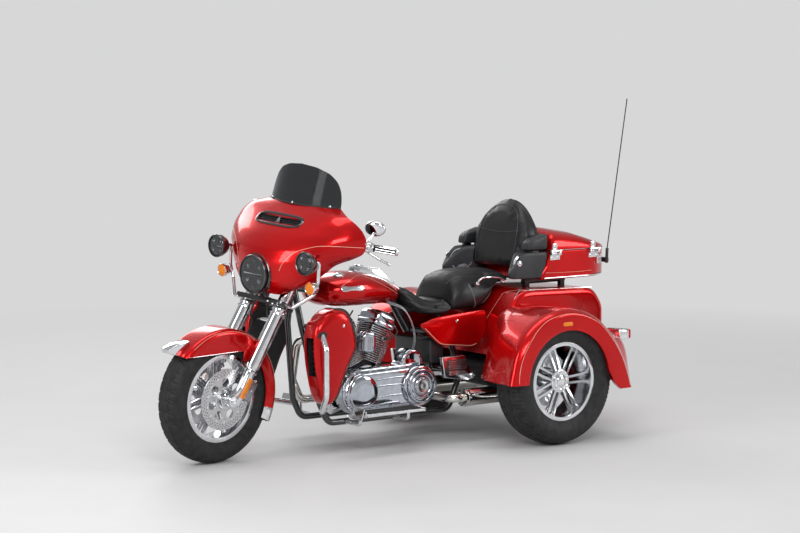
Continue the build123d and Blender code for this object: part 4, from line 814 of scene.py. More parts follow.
def fork_trim():
    kit = Kit()
    up_leg = fork_point(0, 0, 1) - FRONT_AXLE
    for side in BOTH:
        out = (0, side, 0)
        for up, radius, height in ((166, 35.4, 9), (176, 35.0, 4), (478, 39.5, 10)):
            collar = [(radius - 3, 0), (radius, 1.5), (radius, height - 1.5), (radius - 3, height)]
            kit.lathe(collar, fork_point(-AXLE_LEAD, side * 117, up), up_leg, 40)
        for up in (98, 152):
            kit.bolt(fork_point(-99, side * 106.5, up), out, 8, 7)
        kit.bolt((WHEELBASE, side * 141, 322.4), out, 15, 8)
        for z in (300, 344):
            kit.bolt((1672, side * 137, z), out, 5.5, 5)
        hose = [fork_point(x, side * y, up) for x, y, up in ((-110, 70, 168), (-122, 62, 230), (-96, 84, 330),
                                                             (-84, 80, 430))]
        kit.tube(smooth_table(hose + [(1400, side * 60, 700), (1380, side * 40, 790)], 60), 4.6, 10, 1)
    for z, half in ((772, 160), (962, 120)):
        x = HEAD_POINT[0] - z * math.tan(HEAD_RAKE)
        for side in BOTH:
            for k in (-1, 1):
                kit.bolt((x + 58 + k * 16, side * (half - 34), z + 10 + k * 8), HEAD_AXIS, 6, 6)
    kit.build("fork_trim", [CHROME, RUBBER], "steering", "chrome")


fork_trim()


# ---------------------------------------------------------------- painted lines
def trees_of(objects):
    trees = []
    for obj in objects:
        bm = bmesh.new()
        bm.from_mesh(obj.data)
        trees.append(BVHTree.FromBMesh(bm))
        bm.free()
    return trees


def first_hit(trees, start, way, far, steered):
    """Where a line first meets the trees, as (point, normal) in the part's millimetres."""
    hits = [h for h in (t.ray_cast(start, way, far) for t in trees) if h[0]]
    if not hits:
        return []
    hit = min(hits, key=lambda h: h[3])
    return [unplace(hit[0], hit[1] if hit[1].dot(way) < 0 else -hit[1], steered)]


def traced(objects, places, count, steered=False):
    """Points of the objects seen at places of the photograph."""
    right = Vector(UP).cross(EYE_BACK).normalized()
    up = EYE_BACK.cross(right)
    trees, rows = trees_of(objects), []
    for u, v in smooth_table(places, count):
        ahead = -EYE_BACK * (EYE_LENS / EYE_SENSOR * PHOTO_WIDTH)
        way = (ahead + right * (u - PHOTO_WIDTH / 2) + up * (PHOTO_HEIGHT / 2 - v)).normalized()
        rows += first_hit(trees, EYE, way, 100.0, steered)
    return rows


def cast(objects, points, way, steered=False):
    """Where lines along way through points first meet the objects."""
    trees, rows = trees_of(objects), []
    way = np.asarray(way, float) / np.linalg.norm(way)
    for p in points:
        start = place(np.asarray(p, float) - way * 300, steered)[0]
        aim = Vector(place(np.asarray(p, float), steered)[0] - start).normalized()
        rows += first_hit(trees, Vector(start), aim, 0.6, steered)
    return rows


def stripes(name, run, width, body="chassis"):
    """A flat painted band along rows of (point, normal), and its mirror image."""
    vertices, faces = [], []
    p, n = (np.array([q[k] for q in run]) for k in (0, 1))
    n = soften(n, 3)
    n /= np.linalg.norm(n, axis=1)[:, None]
    across = np.cross(np.gradient(p, axis=0), n)
    across /= np.linalg.norm(across, axis=1)[:, None]
    for flip in BOTH:
        o = len(vertices)
        for k in range(len(p)):
            for s, h in ((-1, -0.6), (-0.6, 0.5), (0.6, 0.5), (1, -0.6)):
                vertices.append((p[k] + across[k] * width * s / 2 + n[k] * h) * [1, flip, 1])
        faces += grid_faces(len(p), 4, offset=o)
    new_object(name, vertices, faces, STRIPE, body, 60)


# ---------------------------------------------------------------- fairing and screen
FAIRING = [  # height, half width, front X, side X
    (815, 120, 1402, 1380), (870, 232, 1436, 1300), (938, 300, 1442, 1251), (978, 338, 1440, 1222),
    (1012, 392, 1432, 1157), (1042, 425, 1420, 1126), (1098, 436, 1378, 1124), (1141, 420, 1330, 1133),
    (1176, 390, 1285, 1150), (1208, 335, 1240, 1160), (1235, 251, 1205, 1124)]
LAMP_Z, LAMP_RADIUS, LAMP_FRONT = 905.0, 95.0, 1458.0
VENT_Z, VENT_HALF, VENT_RISE = 1163, 152, 19


def fairing_row(z, w, f, s):
    d = f - s
    corner, shoulder = (s + 0.38 * d, 0.915 * w), (s + 0.66 * d, 0.74 * w)
    left = arc3((s, w), corner, shoulder, 15)
    nose = arc3(shoulder, (f, 0), (shoulder[0], -shoulder[1]), 45)
    right = [(x, -y) for x, y in reversed(left)]
    path = soften(resample(soften(left + nose[1:-1] + right, 4), 73), 3)
    return [(x - 0.8, y, z) for x, y in path]


def fairing_x(y, z):
    """How far forward the fairing's skin is at a place."""
    heights = [row[0] for row in FAIRING]
    row = fairing_row(*[np.interp(z, heights, [r[k] for r in FAIRING]) for k in range(4)])
    row.sort(key=lambda p: p[1])
    return float(np.interp(y, [p[1] for p in row], [p[0] for p in row]))


def vent_middle(y):
    return VENT_Z - 0.00012 * y * y


def fairing_keeps(x, y, z):
    """The skin is open behind the headlamp and in the vent."""
    in_lamp = x > 1350 and y * y + (z - LAMP_Z)**2 < 84**2
    return not in_lamp and not (abs(z - vent_middle(y)) < 15 and abs(y) < 150)


def vent_insert():
    """The wide air slot under the screen, with its raised lip and louvres."""
    kit, rings = Kit(), []
    for grow, lift in ((9, 0.2), (8, 3.5), (3, 4.5), (-1, 2.0), (-3, -14), (-9, -16)):
        ring = []
        for t in angles(96):
            y, up = VENT_HALF * bulge(cos(t), 0.45), VENT_RISE * bulge(sin(t), 0.7)
            yy, zz = y * (1 + grow / 150), vent_middle(y) + up * (1 + grow / VENT_RISE)
            ring.append((fairing_x(yy, zz) + lift, yy, zz + lift * 0.6))
        rings.append(ring)
    kit.rings(rings, 0, False, False).disc(rings[-1], 1)
    for z in (-8, 0, 8):
        path = [(y, vent_middle(y) + z) for y in np.linspace(-140, 140, 41)]
        kit.tube([(fairing_x(y, zz) - 7, y, zz) for y, zz in path], 1.7, 8, 1)
    x = fairing_x(0, VENT_Z)
    divider = [(x + 5, -15, 1150), (x + 5, 15, 1150), (x - 12, 0, 1178), (x - 8, -15, 1146),
               (x - 8, 15, 1146), (x - 24, 0, 1176)]
    kit.add(divider, [(0, 1, 2), (3, 5, 4), (0, 3, 4, 1), (1, 4, 5, 2), (2, 5, 3, 0)], 2)
    kit.build("fairing_vent", [GLOSS_BLACK, GRILLE, CHROME], "steering", "black_plastic")


fairing_rows = [fairing_row(*row) for row in smooth_table(FAIRING, 76)]
fairing = skin("fairing_shell", fairing_rows, RED, "steering", 3.5, flip=True, keep=fairing_keeps)
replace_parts(fairing, "fairing_outer")
vent_insert()
SCREEN_FOOT_X, SCREEN_FOOT_Z, SCREEN_LEAN, SCREEN_BOW = 1205.0, 1235.0, radians(15), 400


def screen_x(y, up=0.0):
    """The screen's bowed face, up being how far up it lies."""
    bow = SCREEN_BOW - sqrt(SCREEN_BOW**2 - y * y)
    return SCREEN_FOOT_X - up * sin(SCREEN_LEAN) - bow / cos(SCREEN_LEAN)


def screen():
    """The curved dark screen, its gasket and its bolts."""
    foot = SCREEN_FOOT_Z - 6
    edge = [(-246, foot), (-243, 1268), (-232, 1316), (-210, 1360), (-166, 1397), (-92, 1421), (0, 1429)]
    edge = [tuple(p) for p in soften(resample(edge, 40), 4)]
    line = edge + [(-y, z) for y, z in reversed(edge[:-1])]
    rows = []
    for t in np.linspace(0.0, 1.0, 14):
        ring = [(y * (1 - t) * 0.999, foot + (z - foot) * (1 - t)) for y, z in line]
        rows.append([(screen_x(y, (z - SCREEN_FOOT_Z) / cos(SCREEN_LEAN)) - 1.2, y, z) for y, z in ring])
    obj = skin("screen_shell", rows, SMOKED, "steering", 4.0)
    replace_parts(obj, "windscreen")
    kit = Kit()
    kit.tube([(screen_x(y) + 3.5, y, SCREEN_FOOT_Z + 1) for y in np.linspace(-244, 244, 61)], 4.2, 10)
    for y in (-205, 0, 205):
        kit.bolt((screen_x(y) + 5, y, SCREEN_FOOT_Z + 6), (cos(SCREEN_LEAN), 0, sin(SCREEN_LEAN)), 7, 5, 1)
    kit.build("screen_gasket", [RUBBER, CHROME], "steering", "black_plastic")


screen()
FAIRING_STRIPE = [(279, 271), (281.5, 265), (286.7, 258.5), (296.7, 251.7), (311.7, 247.5), (323, 246.3),
                  (336, 246.6), (351, 247.4), (364, 248)]  # places in the photograph
stripes("fairing_stripe", traced([fairing], FAIRING_STRIPE, 90, True), 3.2, "steering")


# ---------------------------------------------------------------- lamps
def lamp(name, centre, r, depth, node, projectors, paired):
    """A round lamp: bowl, bright ring, dark plate with projector lenses, and a clear cover."""
    kit = Kit()
    x, y, z = centre
    if paired:
        kit.lathe([(0.4 * r, -depth), (0.62 * r, -depth * 0.93), (0.82 * r, -depth * 0.72),
                   (0.95 * r, -depth * 0.42), (r - 1, -14), (r - 1, -8)], centre, FORWARD, 64)
    else:
        kit.lathe([(r - 10, -depth + 3), (r - 4, -depth * 0.5), (r - 3, -8)], centre, FORWARD, 64, 1)
    ring = [(r - 1.5, -12), (r, -9), (r, -3), (r - 2.5, 0), (r - 6.5, -1.5), (r - 8, -6), (r - 8.5, -14)]
    kit.open_lathe(ring, centre, FORWARD, 72)
    kit.open_lathe([(r - 8, -13), (r * 0.55, -17), (0.5, -19)], centre, FORWARD, 64, 1)
    for dy, dz, size in projectors:
        p, s = (x - 17, y + dy * r, z + dz * r), size * r
        kit.open_lathe([(s * 1.22, 0), (s * 1.22, 6), (s * 1.08, 8), (s * 1.02, 5), (s, 3)], p,
                       FORWARD, 28, 2)
        kit.open_lathe([(s, 2), (s * 0.92, 5), (s * 0.7, 8), (s * 0.36, 10), (0.2, 10.6)], p, FORWARD, 28, 3)
    kit.box((x - 16, y - 0.72 * r, z - 0.04 * r), (x - 8, y + 0.72 * r, z + 0.04 * r), 2, 1.2)
    for k in (-3, -2, -1, 1, 2, 3):
        up = r * sqrt(1 - (k * 0.2)**2)
        kit.box((x - 17, y + k * 0.2 * r - 1, z - 0.6 * up), (x - 13, y + k * 0.2 * r + 1, z - 0.46 * up),
                2, 0.4)
    dome = [(r - 8, -5), (r * 0.8, -1.5), (r * 0.5, 1.2), (r * 0.2, 2.2), (0.3, 2.4)]
    kit.open_lathe([(a, b - 3.0 if paired else min(b, -0.6)) for a, b in dome], centre, FORWARD, 64, 4)
    if paired:
        kit.mirrored()
    kit.build(name, [GLOSS_BLACK, BLACK_LAMP, REFLECTOR, LENS_GLASS, CLEAR], "steering", None, node)


def signals_and_ring():
    """The turn signals, and the dark rim that closes the fairing round the headlamp."""
    kit, centre, r = Kit(), (1375, 316, 872), 33
    kit.lathe([(13, -48), (24, -44), (30, -30), (r - 0.5, -12), (r, -4), (r - 3, -1), (r - 5, -4)],
              centre, FORWARD)
    kit.open_lathe([(r - 4, -3), (r - 8, 0), (r - 16, 2.4), (0.3, 3.2)], centre, FORWARD, 48, 1)
    kit.mirrored().build("turn_signal_units", [CHROME, AMBER], "steering", None, "turn_signals")
    rim = [(7, -40), (8, -30), (6, -24), (1, -22), (-1, -30)]
    kit = Kit().open_lathe([(LAMP_RADIUS + a, b) for a, b in rim], (LAMP_FRONT, 0, LAMP_Z), FORWARD, 96)
    kit.build("headlamp_ring", [GLOSS_BLACK], "steering", "chrome")


HEADLAMP_LENSES = [(-0.42, 0.36, 0.21), (0.42, 0.36, 0.21), (-0.42, -0.34, 0.21), (0.42, -0.34, 0.21),
                   (0, 0.66, 0.1), (0, -0.66, 0.1)]
PASSING_LENSES = [(-0.4, 0.38, 0.24), (0.4, 0.38, 0.24), (-0.4, -0.38, 0.24), (0.4, -0.38, 0.24)]
lamp("headlamp_unit", (LAMP_FRONT, 0, LAMP_Z), LAMP_RADIUS, 55, "headlamp", HEADLAMP_LENSES, False)
lamp("passing_lamp_units", (1420, 316, 997), 58, 66, "passing_lamps", PASSING_LENSES, True)
signals_and_ring()

# ---------------------------------------------------------------- tank
TANK = [  # X, half width, bottom, top
    (586, 20, 735, 765), (620, 80, 716, 795), (700, 128, 712, 842), (790, 158, 712, 872),
    (880, 175, 712, 885), (960, 174, 714, 884), (1030, 158, 720, 872), (1070, 125, 733, 857),
    (1094, 60, 755, 832)]
BADGE_X, BADGE_Z = 959, 814


def tank_ring(x, w, low, high):
    ring = []
    tall = high - low
    for t in angles(64):
        s = bulge(sin(t), 0.86 if sin(t) > 0 else 0.72)
        z = low + 0.47 * tall + (0.53 if s > 0 else 0.47) * tall * s
        ring.append((x, w * bulge(cos(t), 0.82) * (1 - 0.10 * max(-sin(t), 0)), z))
    return ring


def tank_badges():
    """A bare stadium-shaped plate on each side of the tank."""
    kit = Kit()
    outline = [(52 * (1 if cos(t) > 0 else -1) + 13 * cos(t), 13 * sin(t)) for t in angles(64)]
    for side in BOTH:

        def on_tank(s, tall=1.0):
            spots = [(BADGE_X + x * s, side * 180, BADGE_Z + z * s * tall) for x, z in outline]
            return cast([tank], spots, (0, -side, 0))

        n = cast([tank], [(BADGE_X, side * 180, BADGE_Z)], (0, -side, 0))[0][1]
        p = np.array([s[0] for s in on_tank(1)])
        m = np.array([BADGE_X, p[:, 1].mean(), BADGE_Z])
        rings = [p - n, p + n * 2.6]
        rings += [m + (p - m) * [x, 1, z] + n * up for x, z, up in ((0.97, 0.86, 3.6), (0.94, 0.74, 2.4),
                                                                    (0.93, 0.70, 2.4))]
        inner = [np.array([q[0] + q[1] * 3.0 for q in on_tank(s, 0.8)]) for s in (0.9, 0.6, 0.3, 0.02)]
        kit.rings(rings, 0, False, False).rings(rings[-1:] + inner, 1, False, False)
    kit.build("tank_badges", [CHROME, BADGE], "chassis", "chrome")


def tank_caps():
    """The round bright caps on top of the tank."""
    kit = Kit()
    for side in BOTH:
        spot, up = cast([tank], [(985, side * 78, 900)], DOWN)[0]
        kit.lathe([(27, -3), (27, 3), (24, 6), (12, 7.5), (0.4, 8)], spot, up)
        kit.open_lathe([(29, -3), (29.5, 1), (27.5, 1.6)], spot, up)
    kit.build("tank_caps", [CHROME], "chassis", "chrome")


tank_rows = [tank_ring(*row) for row in smooth_table(TANK, 58)]
tank = closed_form("fuel_tank_shell", tank_rows, RED)
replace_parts(tank, "fuel_tank")
tank_badges()
tank_caps()
TANK_STRIPE = [  # places in the photograph
    (331, 305), (345, 309), (360, 308), (380, 306), (392, 304.5), (399, 300.5), (399.5, 296), (392, 290),
    (380, 283), (366, 277), (357, 275.5), (349, 281), (341, 287)]
stripes("tank_stripes", traced([tank], TANK_STRIPE, 130), 2.6)

# ---------------------------------------------------------------- rear fenders
FENDER = [  # Y, crown radius, front low X, front high X, rear high X, tail high X, Z, tail low X
    (345, 371, 290, 196, -250, -515, 560, -518), (450, 371, 342, 254, -255, -492, 535, -500),
    (600, 371, 354, 300, -262, -452, 500, -474), (662, 369, 366, 330, -300, -380, 430, -436),
    (690, 345, 342, 306, -280, -352, 420, -410)]
ARCH_RADIUS, FENDER_LOW, FENDER_FRONT_LOW, FENDER_CROWN = 266, 264, 334, 371
BLEND_ROUNDS, BLENDED = 16, 36  # smoothing of the rows from the inner edge up to this one


def fender_path(y, radius, front_low, front_high, rear_high, tail_x, tail_z, tail_low):
    front_z, rear_z = (REAR_AXLE_Z + sqrt(radius**2 - x**2) for x in (front_high, rear_high))
    start, end = (math.atan2(z - REAR_AXLE_Z, x) for x, z in ((front_high, front_z), (rear_high, rear_z)))
    path = [resample([(front_low, FENDER_FRONT_LOW), (front_high, front_z)], 18)[:-1]]
    path.append([(radius * cos(t), REAR_AXLE_Z + radius * sin(t)) for t in np.linspace(start, end, 70)])
    path.append(resample([(rear_high, rear_z), (tail_x, tail_z)], 24)[1:])
    path.append(resample([(tail_x, tail_z), (tail_low, FENDER_LOW)], 18)[1:])
    return [(x, y, z) for x, z in soften(resample(np.concatenate(path), 150), 45)]


def arch_path(outer, y):
    """The wheel opening's edge, with a point for each point of the fender's outer edge."""
    tail = resample([(-263, 364), (-281, 340), (-300, 300), (-345, FENDER_LOW)], 60)
    last = math.atan2(tail[0][1] - REAR_AXLE_Z, tail[0][0])
    end = math.atan2(outer[-1][2] - REAR_AXLE_Z, outer[-1][0]) % (2 * pi)
    path = []
    for x, _, z in outer:
        t = math.atan2(z - REAR_AXLE_Z, x) % (2 * pi)
        if t < last or t > 1.5 * pi:
            path.append((ARCH_RADIUS * cos(t), REAR_AXLE_Z + ARCH_RADIUS * sin(t)))
        else:
            path.append(tail[min(int((t - last) / (end - last) * 59.99), 59)])
    path = soften(path, 3)
    path[:, 1] = np.maximum(path[:, 1], FENDER_LOW + 0.2)
    path[0, 1] = FENDER_FRONT_LOW
    return [(x, y, z) for x, z in path]


def rear_fender(side, word):
    table = smooth_table(FENDER, 40)
    table[:, 1] = np.minimum(table[:, 1], FENDER_CROWN)
    rows = [fender_path(*row) for row in table]
    last, arch = np.array(rows[-1]), np.array(arch_path(rows[-1], 689.4))
    rows += [(1 - t) * last + t * arch for t in (0.06, 0.2, 0.4, 0.6, 0.8, 0.93, 1.0)]
    for grow, y in ((1.012, 686.0), (1.02, 668.0)):
        rows.append([(x * grow, y, (z - REAR_AXLE_Z) * grow + REAR_AXLE_Z) for x, _, z in arch])
    rows = np.array(rows)
    for _ in range(BLEND_ROUNDS):
        inner = rows[1:BLENDED]
        inner[:] = (rows[:BLENDED - 1] + 2 * inner + rows[2:BLENDED + 1]) / 4
        inner[:, 1:-1] = (inner[:, :-2] + 2 * inner[:, 1:-1] + inner[:, 2:]) / 4
    rows = rows * [1, side, 1]
    rows[:, :, 2] = np.maximum(rows[:, :, 2], FENDER_LOW + 0.2)
    obj = skin("rear_fender_shell_" + word, rows, RED, wall=3.0, smooth=50, flip=side < 0)
    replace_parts(obj, "rear_fender_" + word)
    wall = [(x, z) for x, _, z in rows[0]] + [(-518, FENDER_LOW), (290, FENDER_FRONT_LOW)]
    # The inner wall takes the darker red, as painted shade between fender and trunk.
    flat_panel("rear_fender_wall_" + word, [(x, side * 346.5, z) for x, z in wall], SHADE_RED, 2.5)
    return obj


fender_left, _ = [rear_fender(*side) for side in SIDES]
FENDER_STRIPE = [  # X, Z
    (335, 345), (332, 400), (312, 470), (276, 535), (224, 600), (160, 648), (97, 671), (30, 681), (-34, 679),
    (-110, 660), (-187, 625), (-240, 580), (-284, 530), (-318, 490), (-343, 453), (-366, 413), (-383, 376),
    (-398, 325), (-411, 272)]
stripe_places = [(x * 0.985, 740, REAR_AXLE_Z + (z - REAR_AXLE_Z) * 0.97)
                 for x, z in smooth_table(FENDER_STRIPE, 200)]
stripes("rear_fender_stripes", cast([fender_left], stripe_places, RIGHT), 3.0)


# ---------------------------------------------------------------- seats and pads
CLOTH_FRAMES, CLOTH_PRESSURE = 20, 4.0


def stuff(obj):
    """Swells the form like stuffed leather, with the cloth's pressure inside."""
    cloth = obj.modifiers.new("stuffing", "CLOTH")
    s = cloth.settings
    s.quality, s.mass, s.air_damping = 5, 0.3, 1.0
    s.tension_stiffness = s.compression_stiffness = 18
    s.shear_stiffness, s.bending_stiffness = 6, 0.6
    s.use_pressure, s.uniform_pressure_force = True, CLOTH_PRESSURE
    s.effector_weights.gravity = 0
    cloth.collision_settings.use_collision = False
    scene = bpy.context.scene
    scene.frame_start, scene.frame_end = 1, CLOTH_FRAMES
    cloth.point_cache.frame_start, cloth.point_cache.frame_end = 1, CLOTH_FRAMES
    for f in range(1, CLOTH_FRAMES + 1):
        scene.frame_set(f)
    apply_modifiers(obj)
    scene.frame_set(1)


def puff(name, node, rows, material, cap, hold, voxel=7.0):
    """A stuffed form over rings; hold(x, y, z) is how freely a point swells, by up to cap millimetres."""
    obj = closed_form(name, rows, material)
    m = obj.modifiers.new("remesh", "REMESH")
    m.mode, m.voxel_size = "VOXEL", voxel / 1000
    apply_modifiers(obj)
    before = np.array([v.co[:] for v in obj.data.vertices])
    stuff(obj)
    move = np.array([v.co[:] for v in obj.data.vertices]) - before
    far = np.linalg.norm(move, axis=1)
    move *= (cap / 1000 * np.tanh(far / (cap / 1000)) / np.maximum(far, 1e-9))[:, None]
    move *= np.array([hold(*p) for p in before * 1000 + [SHIFT, 0, 0]])[:, None]
    obj.data.vertices.foreach_set("co", (before + move).ravel())
    relax = obj.modifiers.new("even", "SMOOTH")
    relax.factor, relax.iterations = 0.5, 4
    finer = obj.modifiers.new("finer", "SUBSURF")
    finer.levels = finer.render_levels = 1
    apply_modifiers(obj)
    for p in obj.data.polygons:
        p.use_smooth = True
    obj.data.materials.clear()
    obj.data.materials.append(material)
    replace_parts(obj, node)
    return obj


def saddle_ring(x, w, top, low, crown):
    """A seat's cross-section: crown is how far the top falls from the middle to the shoulder."""
    wall = top - crown - low
    half = [(w - 22, low), (w - 8, low + 4), (w - 1, low + 14), (w, low + 0.45 * wall),
            (w - 2, low + 0.75 * wall), (w - 12, top - crown - 6), (w - 32, top - 0.66 * crown),
            (w * 0.66, top - 0.28 * crown), (w * 0.36, top - 0.06 * crown), (0, top)]
    half = [tuple(p) for p in soften(resample(half, 34), 2)]
    ring = half + [(-y, z) for y, z in reversed(half[:-1])]
    return [(x, y, z) for y, z in resample(ring + [(0, low), ring[0]], 88)[:-1]]


def rounded(ring, steps):
    """Smaller copies of an end ring, each at its (share, step along X)."""
    return [ring.mean(0) + (ring - ring.mean(0)) * share + (step, 0, 0) for share, step in steps]


def seat_rows(table, front, back):
    rows = [np.array(saddle_ring(*row)) for row in smooth_table(table, 44)]
    return rounded(rows[0], front)[::-1] + rows + rounded(rows[-1], back)


def joint_hold(low_x, high_x):
    """Full swelling inside, less towards the faces that meet other pieces and underneath."""
    return lambda x, y, z: (min(max((x - low_x) / 30, 0.15), 1) * min(max((high_x - x) / 30, 0.15), 1)
                            * (0.25 if z < 690 and abs(y) < 150 else 1))


RIDER = [  # X, half width, top, bottom, crown
    (592, 34, 788, 764, 8), (578, 62, 792, 742, 14), (556, 94, 786, 712, 22), (528, 122, 765, 676, 30),
    (498, 148, 742, 655, 38), (464, 168, 719, 650, 36), (430, 181, 704, 648, 24), (398, 183, 701, 650, 17),
    (368, 181, 712, 655, 20), (351, 178, 724, 662, 26)]
PILLION = [
    (337, 150, 752, 664, 34), (326, 162, 790, 662, 48), (306, 172, 818, 662, 62), (276, 179, 838, 662, 70),
    (236, 181, 848, 663, 72), (170, 181, 850, 670, 72), (110, 181, 849, 706, 70), (48, 181, 846, 782, 52),
    (-26, 178, 839, 793, 36)]
RIDER_ROWS = seat_rows(RIDER, ((0.7, 5), (0.3, 6)), ((0.9, -2), (0.5, -2.6)))
PILLION_ROWS = seat_rows(PILLION, ((0.88, 3), (0.4, 4)), ((0.8, -4), (0.3, -5)))
rider_seat = puff("rider_seat_cushion", "rider_seat", RIDER_ROWS, LEATHER, 8, joint_hold(338, 596))
pillion_seat = puff("passenger_seat_cushion", "passenger_seat", PILLION_ROWS, LEATHER, 8,
                    joint_hold(-32, 336))

BACKREST = [  # Y, Z of the left half, from the top to the middle of the foot
    (0, 1204), (60, 1196), (112, 1170), (150, 1136), (176, 1106), (206, 1064), (222, 1036), (225, 960),
    (222, 880), (205, 848), (120, 846), (0, 846)]
BACKREST_LAYERS = ((60, 0, 0), (8, 0, 0), (1, 0.08, 0), (0, 0.3, 0), (0, 0.6, 0), (3, 0.82, 0), (12, 0.95, 0),
                   (26, 1.0, 0), (60, 1.0, 5), (110, 1.0, 7))  # inset, share from back to front, bulge


def backrest_rows():
    half = soften(resample(BACKREST, 60), 3)
    line = [tuple(p) for p in half] + [(-y, z) for y, z in half[-2:0:-1]]
    front = graph([843, 1000, 1120, 1200], [-66, -98, -124, -156])
    rear = graph([843, 931, 1210], [-152, -191, -191])
    rows = []
    for inset, share, out in BACKREST_LAYERS:
        ring = [(y * (1 - inset / 226), 1010 + (z - 1010) * (1 - inset / 190)) for y, z in line]
        rows.append([(rear(z) + (front(z) - rear(z)) * share + out, y, z) for y, z in ring])
    return rows


ARM_PAD = [(-52, 956), (-60, 996), (-84, 1014), (-176, 1038), (-186, 1034), (-187, 960), (-176, 955),
           (-70, 955)]
ARM_PAD_LAYERS = ((234, 0.7), (235, 0.9), (240, 0.985), (252, 1), (278, 1), (290, 0.985), (295.5, 0.9),
                  (297, 0.7))
backrest = puff("backrest_cushion", "backrest", backrest_rows(), LEATHER, 7,
                lambda x, y, z: 0.1 if x < -170 else 1)
pad_line = closed_outline(ARM_PAD, 60, 2)
arm_pads = [puff("arm_pad_" + word, "arm_pads", layers(pad_line, pad_line.mean(0), ARM_PAD_LAYERS, side),
                 LEATHER_GREY, 5, lambda x, y, z: 0.1 if z < 962 or x < -180 else 1, 4.5)
            for side, word in SIDES]


def lifted(rows, lift):
    return soften(np.array([q[0] + q[1] * lift for q in rows]), 3)


def stitches(kit, rows):
    """A row of short threads, 4.2 long and 7 apart, over the surface."""
    p = lifted(rows, 0.4)
    s = along(p)
    for t in np.arange(3, s[-1] - 5, 7.0):
        a, b = (np.array([np.interp(d, s, column) for column in p.T]) for d in (t, t + 4.2))
        kit.tube([a, (a + b) / 2 + (0, 0, 0.2), b], 0.9, 5, 2)


def seat_trim():
    """Piping, stitched seams, the grab rails and their round feet on the seats."""
    kit = Kit()

    def seam(rows, radius=2.6, lift=0.2, material=0):
        kit.tube(lifted(rows, lift), radius, 8, material)

    def top_seam(seat, line, side, high):
        """A seam along the seat's top, with stitches beside it."""
        for away in (0, 9):
            rows = cast([seat], [(x, side * (y + away), high) for x, y in line], DOWN)
            if away:
                stitches(kit, rows)
            else:
                seam(rows)

    rider_edge = smooth_table([(584, 48), (556, 74), (512, 100), (460, 118), (420, 127), (390, 128),
                               (362, 118), (350, 98)], 90)
    rider_low = smooth_table([(566, 724), (520, 692), (470, 676), (420, 668), (372, 672), (352, 686)], 70)
    flap = (((228, 788), (209, 726), (190, 668)), ((190, 668), (170, 668), (150, 674)),
            ((150, 674), (95, 728), (40, 786)))
    pillion_edge = smooth_table([(322, 96), (290, 118), (230, 128), (120, 130), (20, 128), (-20, 124)], 80)
    for side in BOTH:
        top_seam(rider_seat, rider_edge, side, 900)
        seam(cast([rider_seat], [(x, side * 300, z) for x, z in rider_low], (0, -side, 0)), 2.2)
        for run in flap:
            places = [(x, side * 300, z) for x, z in smooth_table(run, 30)]
            seam(cast([pillion_seat], places, (0, -side, 0)), lift=0.6, material=1)
        top_seam(pillion_seat, pillion_edge, side, 980)
    front = smooth_table([(0, 1174), (58, 1166), (104, 1142), (134, 1108), (150, 1060), (156, 990),
                          (154, 900), (150, 868)], 90)
    for side in BOTH:
        seam(cast([backrest], [(100, side * y, z) for y, z in front], BACK))
    bar = smooth_table([(-152, 1046), (-80, 1038), (0, 1034), (80, 1038), (152, 1046)], 60)
    rows = cast([backrest], [(100, y, z) for y, z in bar], BACK)
    seam(rows)
    stitches(kit, [(p - np.array([0, 0, 9.0]), n) for p, n in rows])
    for side in BOTH:
        rail = [(190, 176, 786), (176, 192, 812), (150, 197, 822), (100, 198, 821), (60, 196, 817),
                (30, 186, 806), (12, 172, 790)]
        kit.tube(smooth_table([(x, side * y, z) for x, y, z in rail], 60), 5.5, 12, 3)
        for x, y, z in ((186, 180, 792), (18, 176, 796)):
            kit.lathe([(11, -6), (11, 3), (8, 5), (0.4, 5.5)], (x, side * y, z), (0, side, 0.2), 24, 3)
    kit.build("seat_trim", [PIPING_DARK, PIPING, THREAD, CHROME], "chassis", "leather")


seat_trim()


# ---------------------------------------------------------------- trunk and door
TRUNK = [  # X, Z from the foot at the front, over the top, to the foot at the rear
    (130, 424), (130, 636), (35, 756), (-456, 745), (-520, 654), (-520, 646), (-520, 428), (-520, 307)]
TRUNK_COUNTS = (12, 10, 26, 9, 3, 14, 8)
TRUNK_HALF, DOOR_X = 345, -520
TRUNK_EDGE = [  # Y, inset
    (345, 24), (344.6, 19), (342.5, 12.5), (338.5, 6.5), (332, 2), (326, 0.4), (323.5, 0)]


def trunk_path():
    runs = [resample(TRUNK[k:k + 2], n) for k, n in enumerate(TRUNK_COUNTS)]
    path = np.concatenate([r[:-1] for r in runs] + [runs[-1][-1:]])
    soft = soften(path, 10)
    straight = (path[:, 1] < 645.9) & (path[:, 0] < -500)
    soft[straight] = path[straight]
    return soft


def trunk_keeps(x, y, z):
    """The shell is open where the door closes it."""
    return not (x < -514 and 428.6 < z < 645.6 and abs(y) < 323.4)


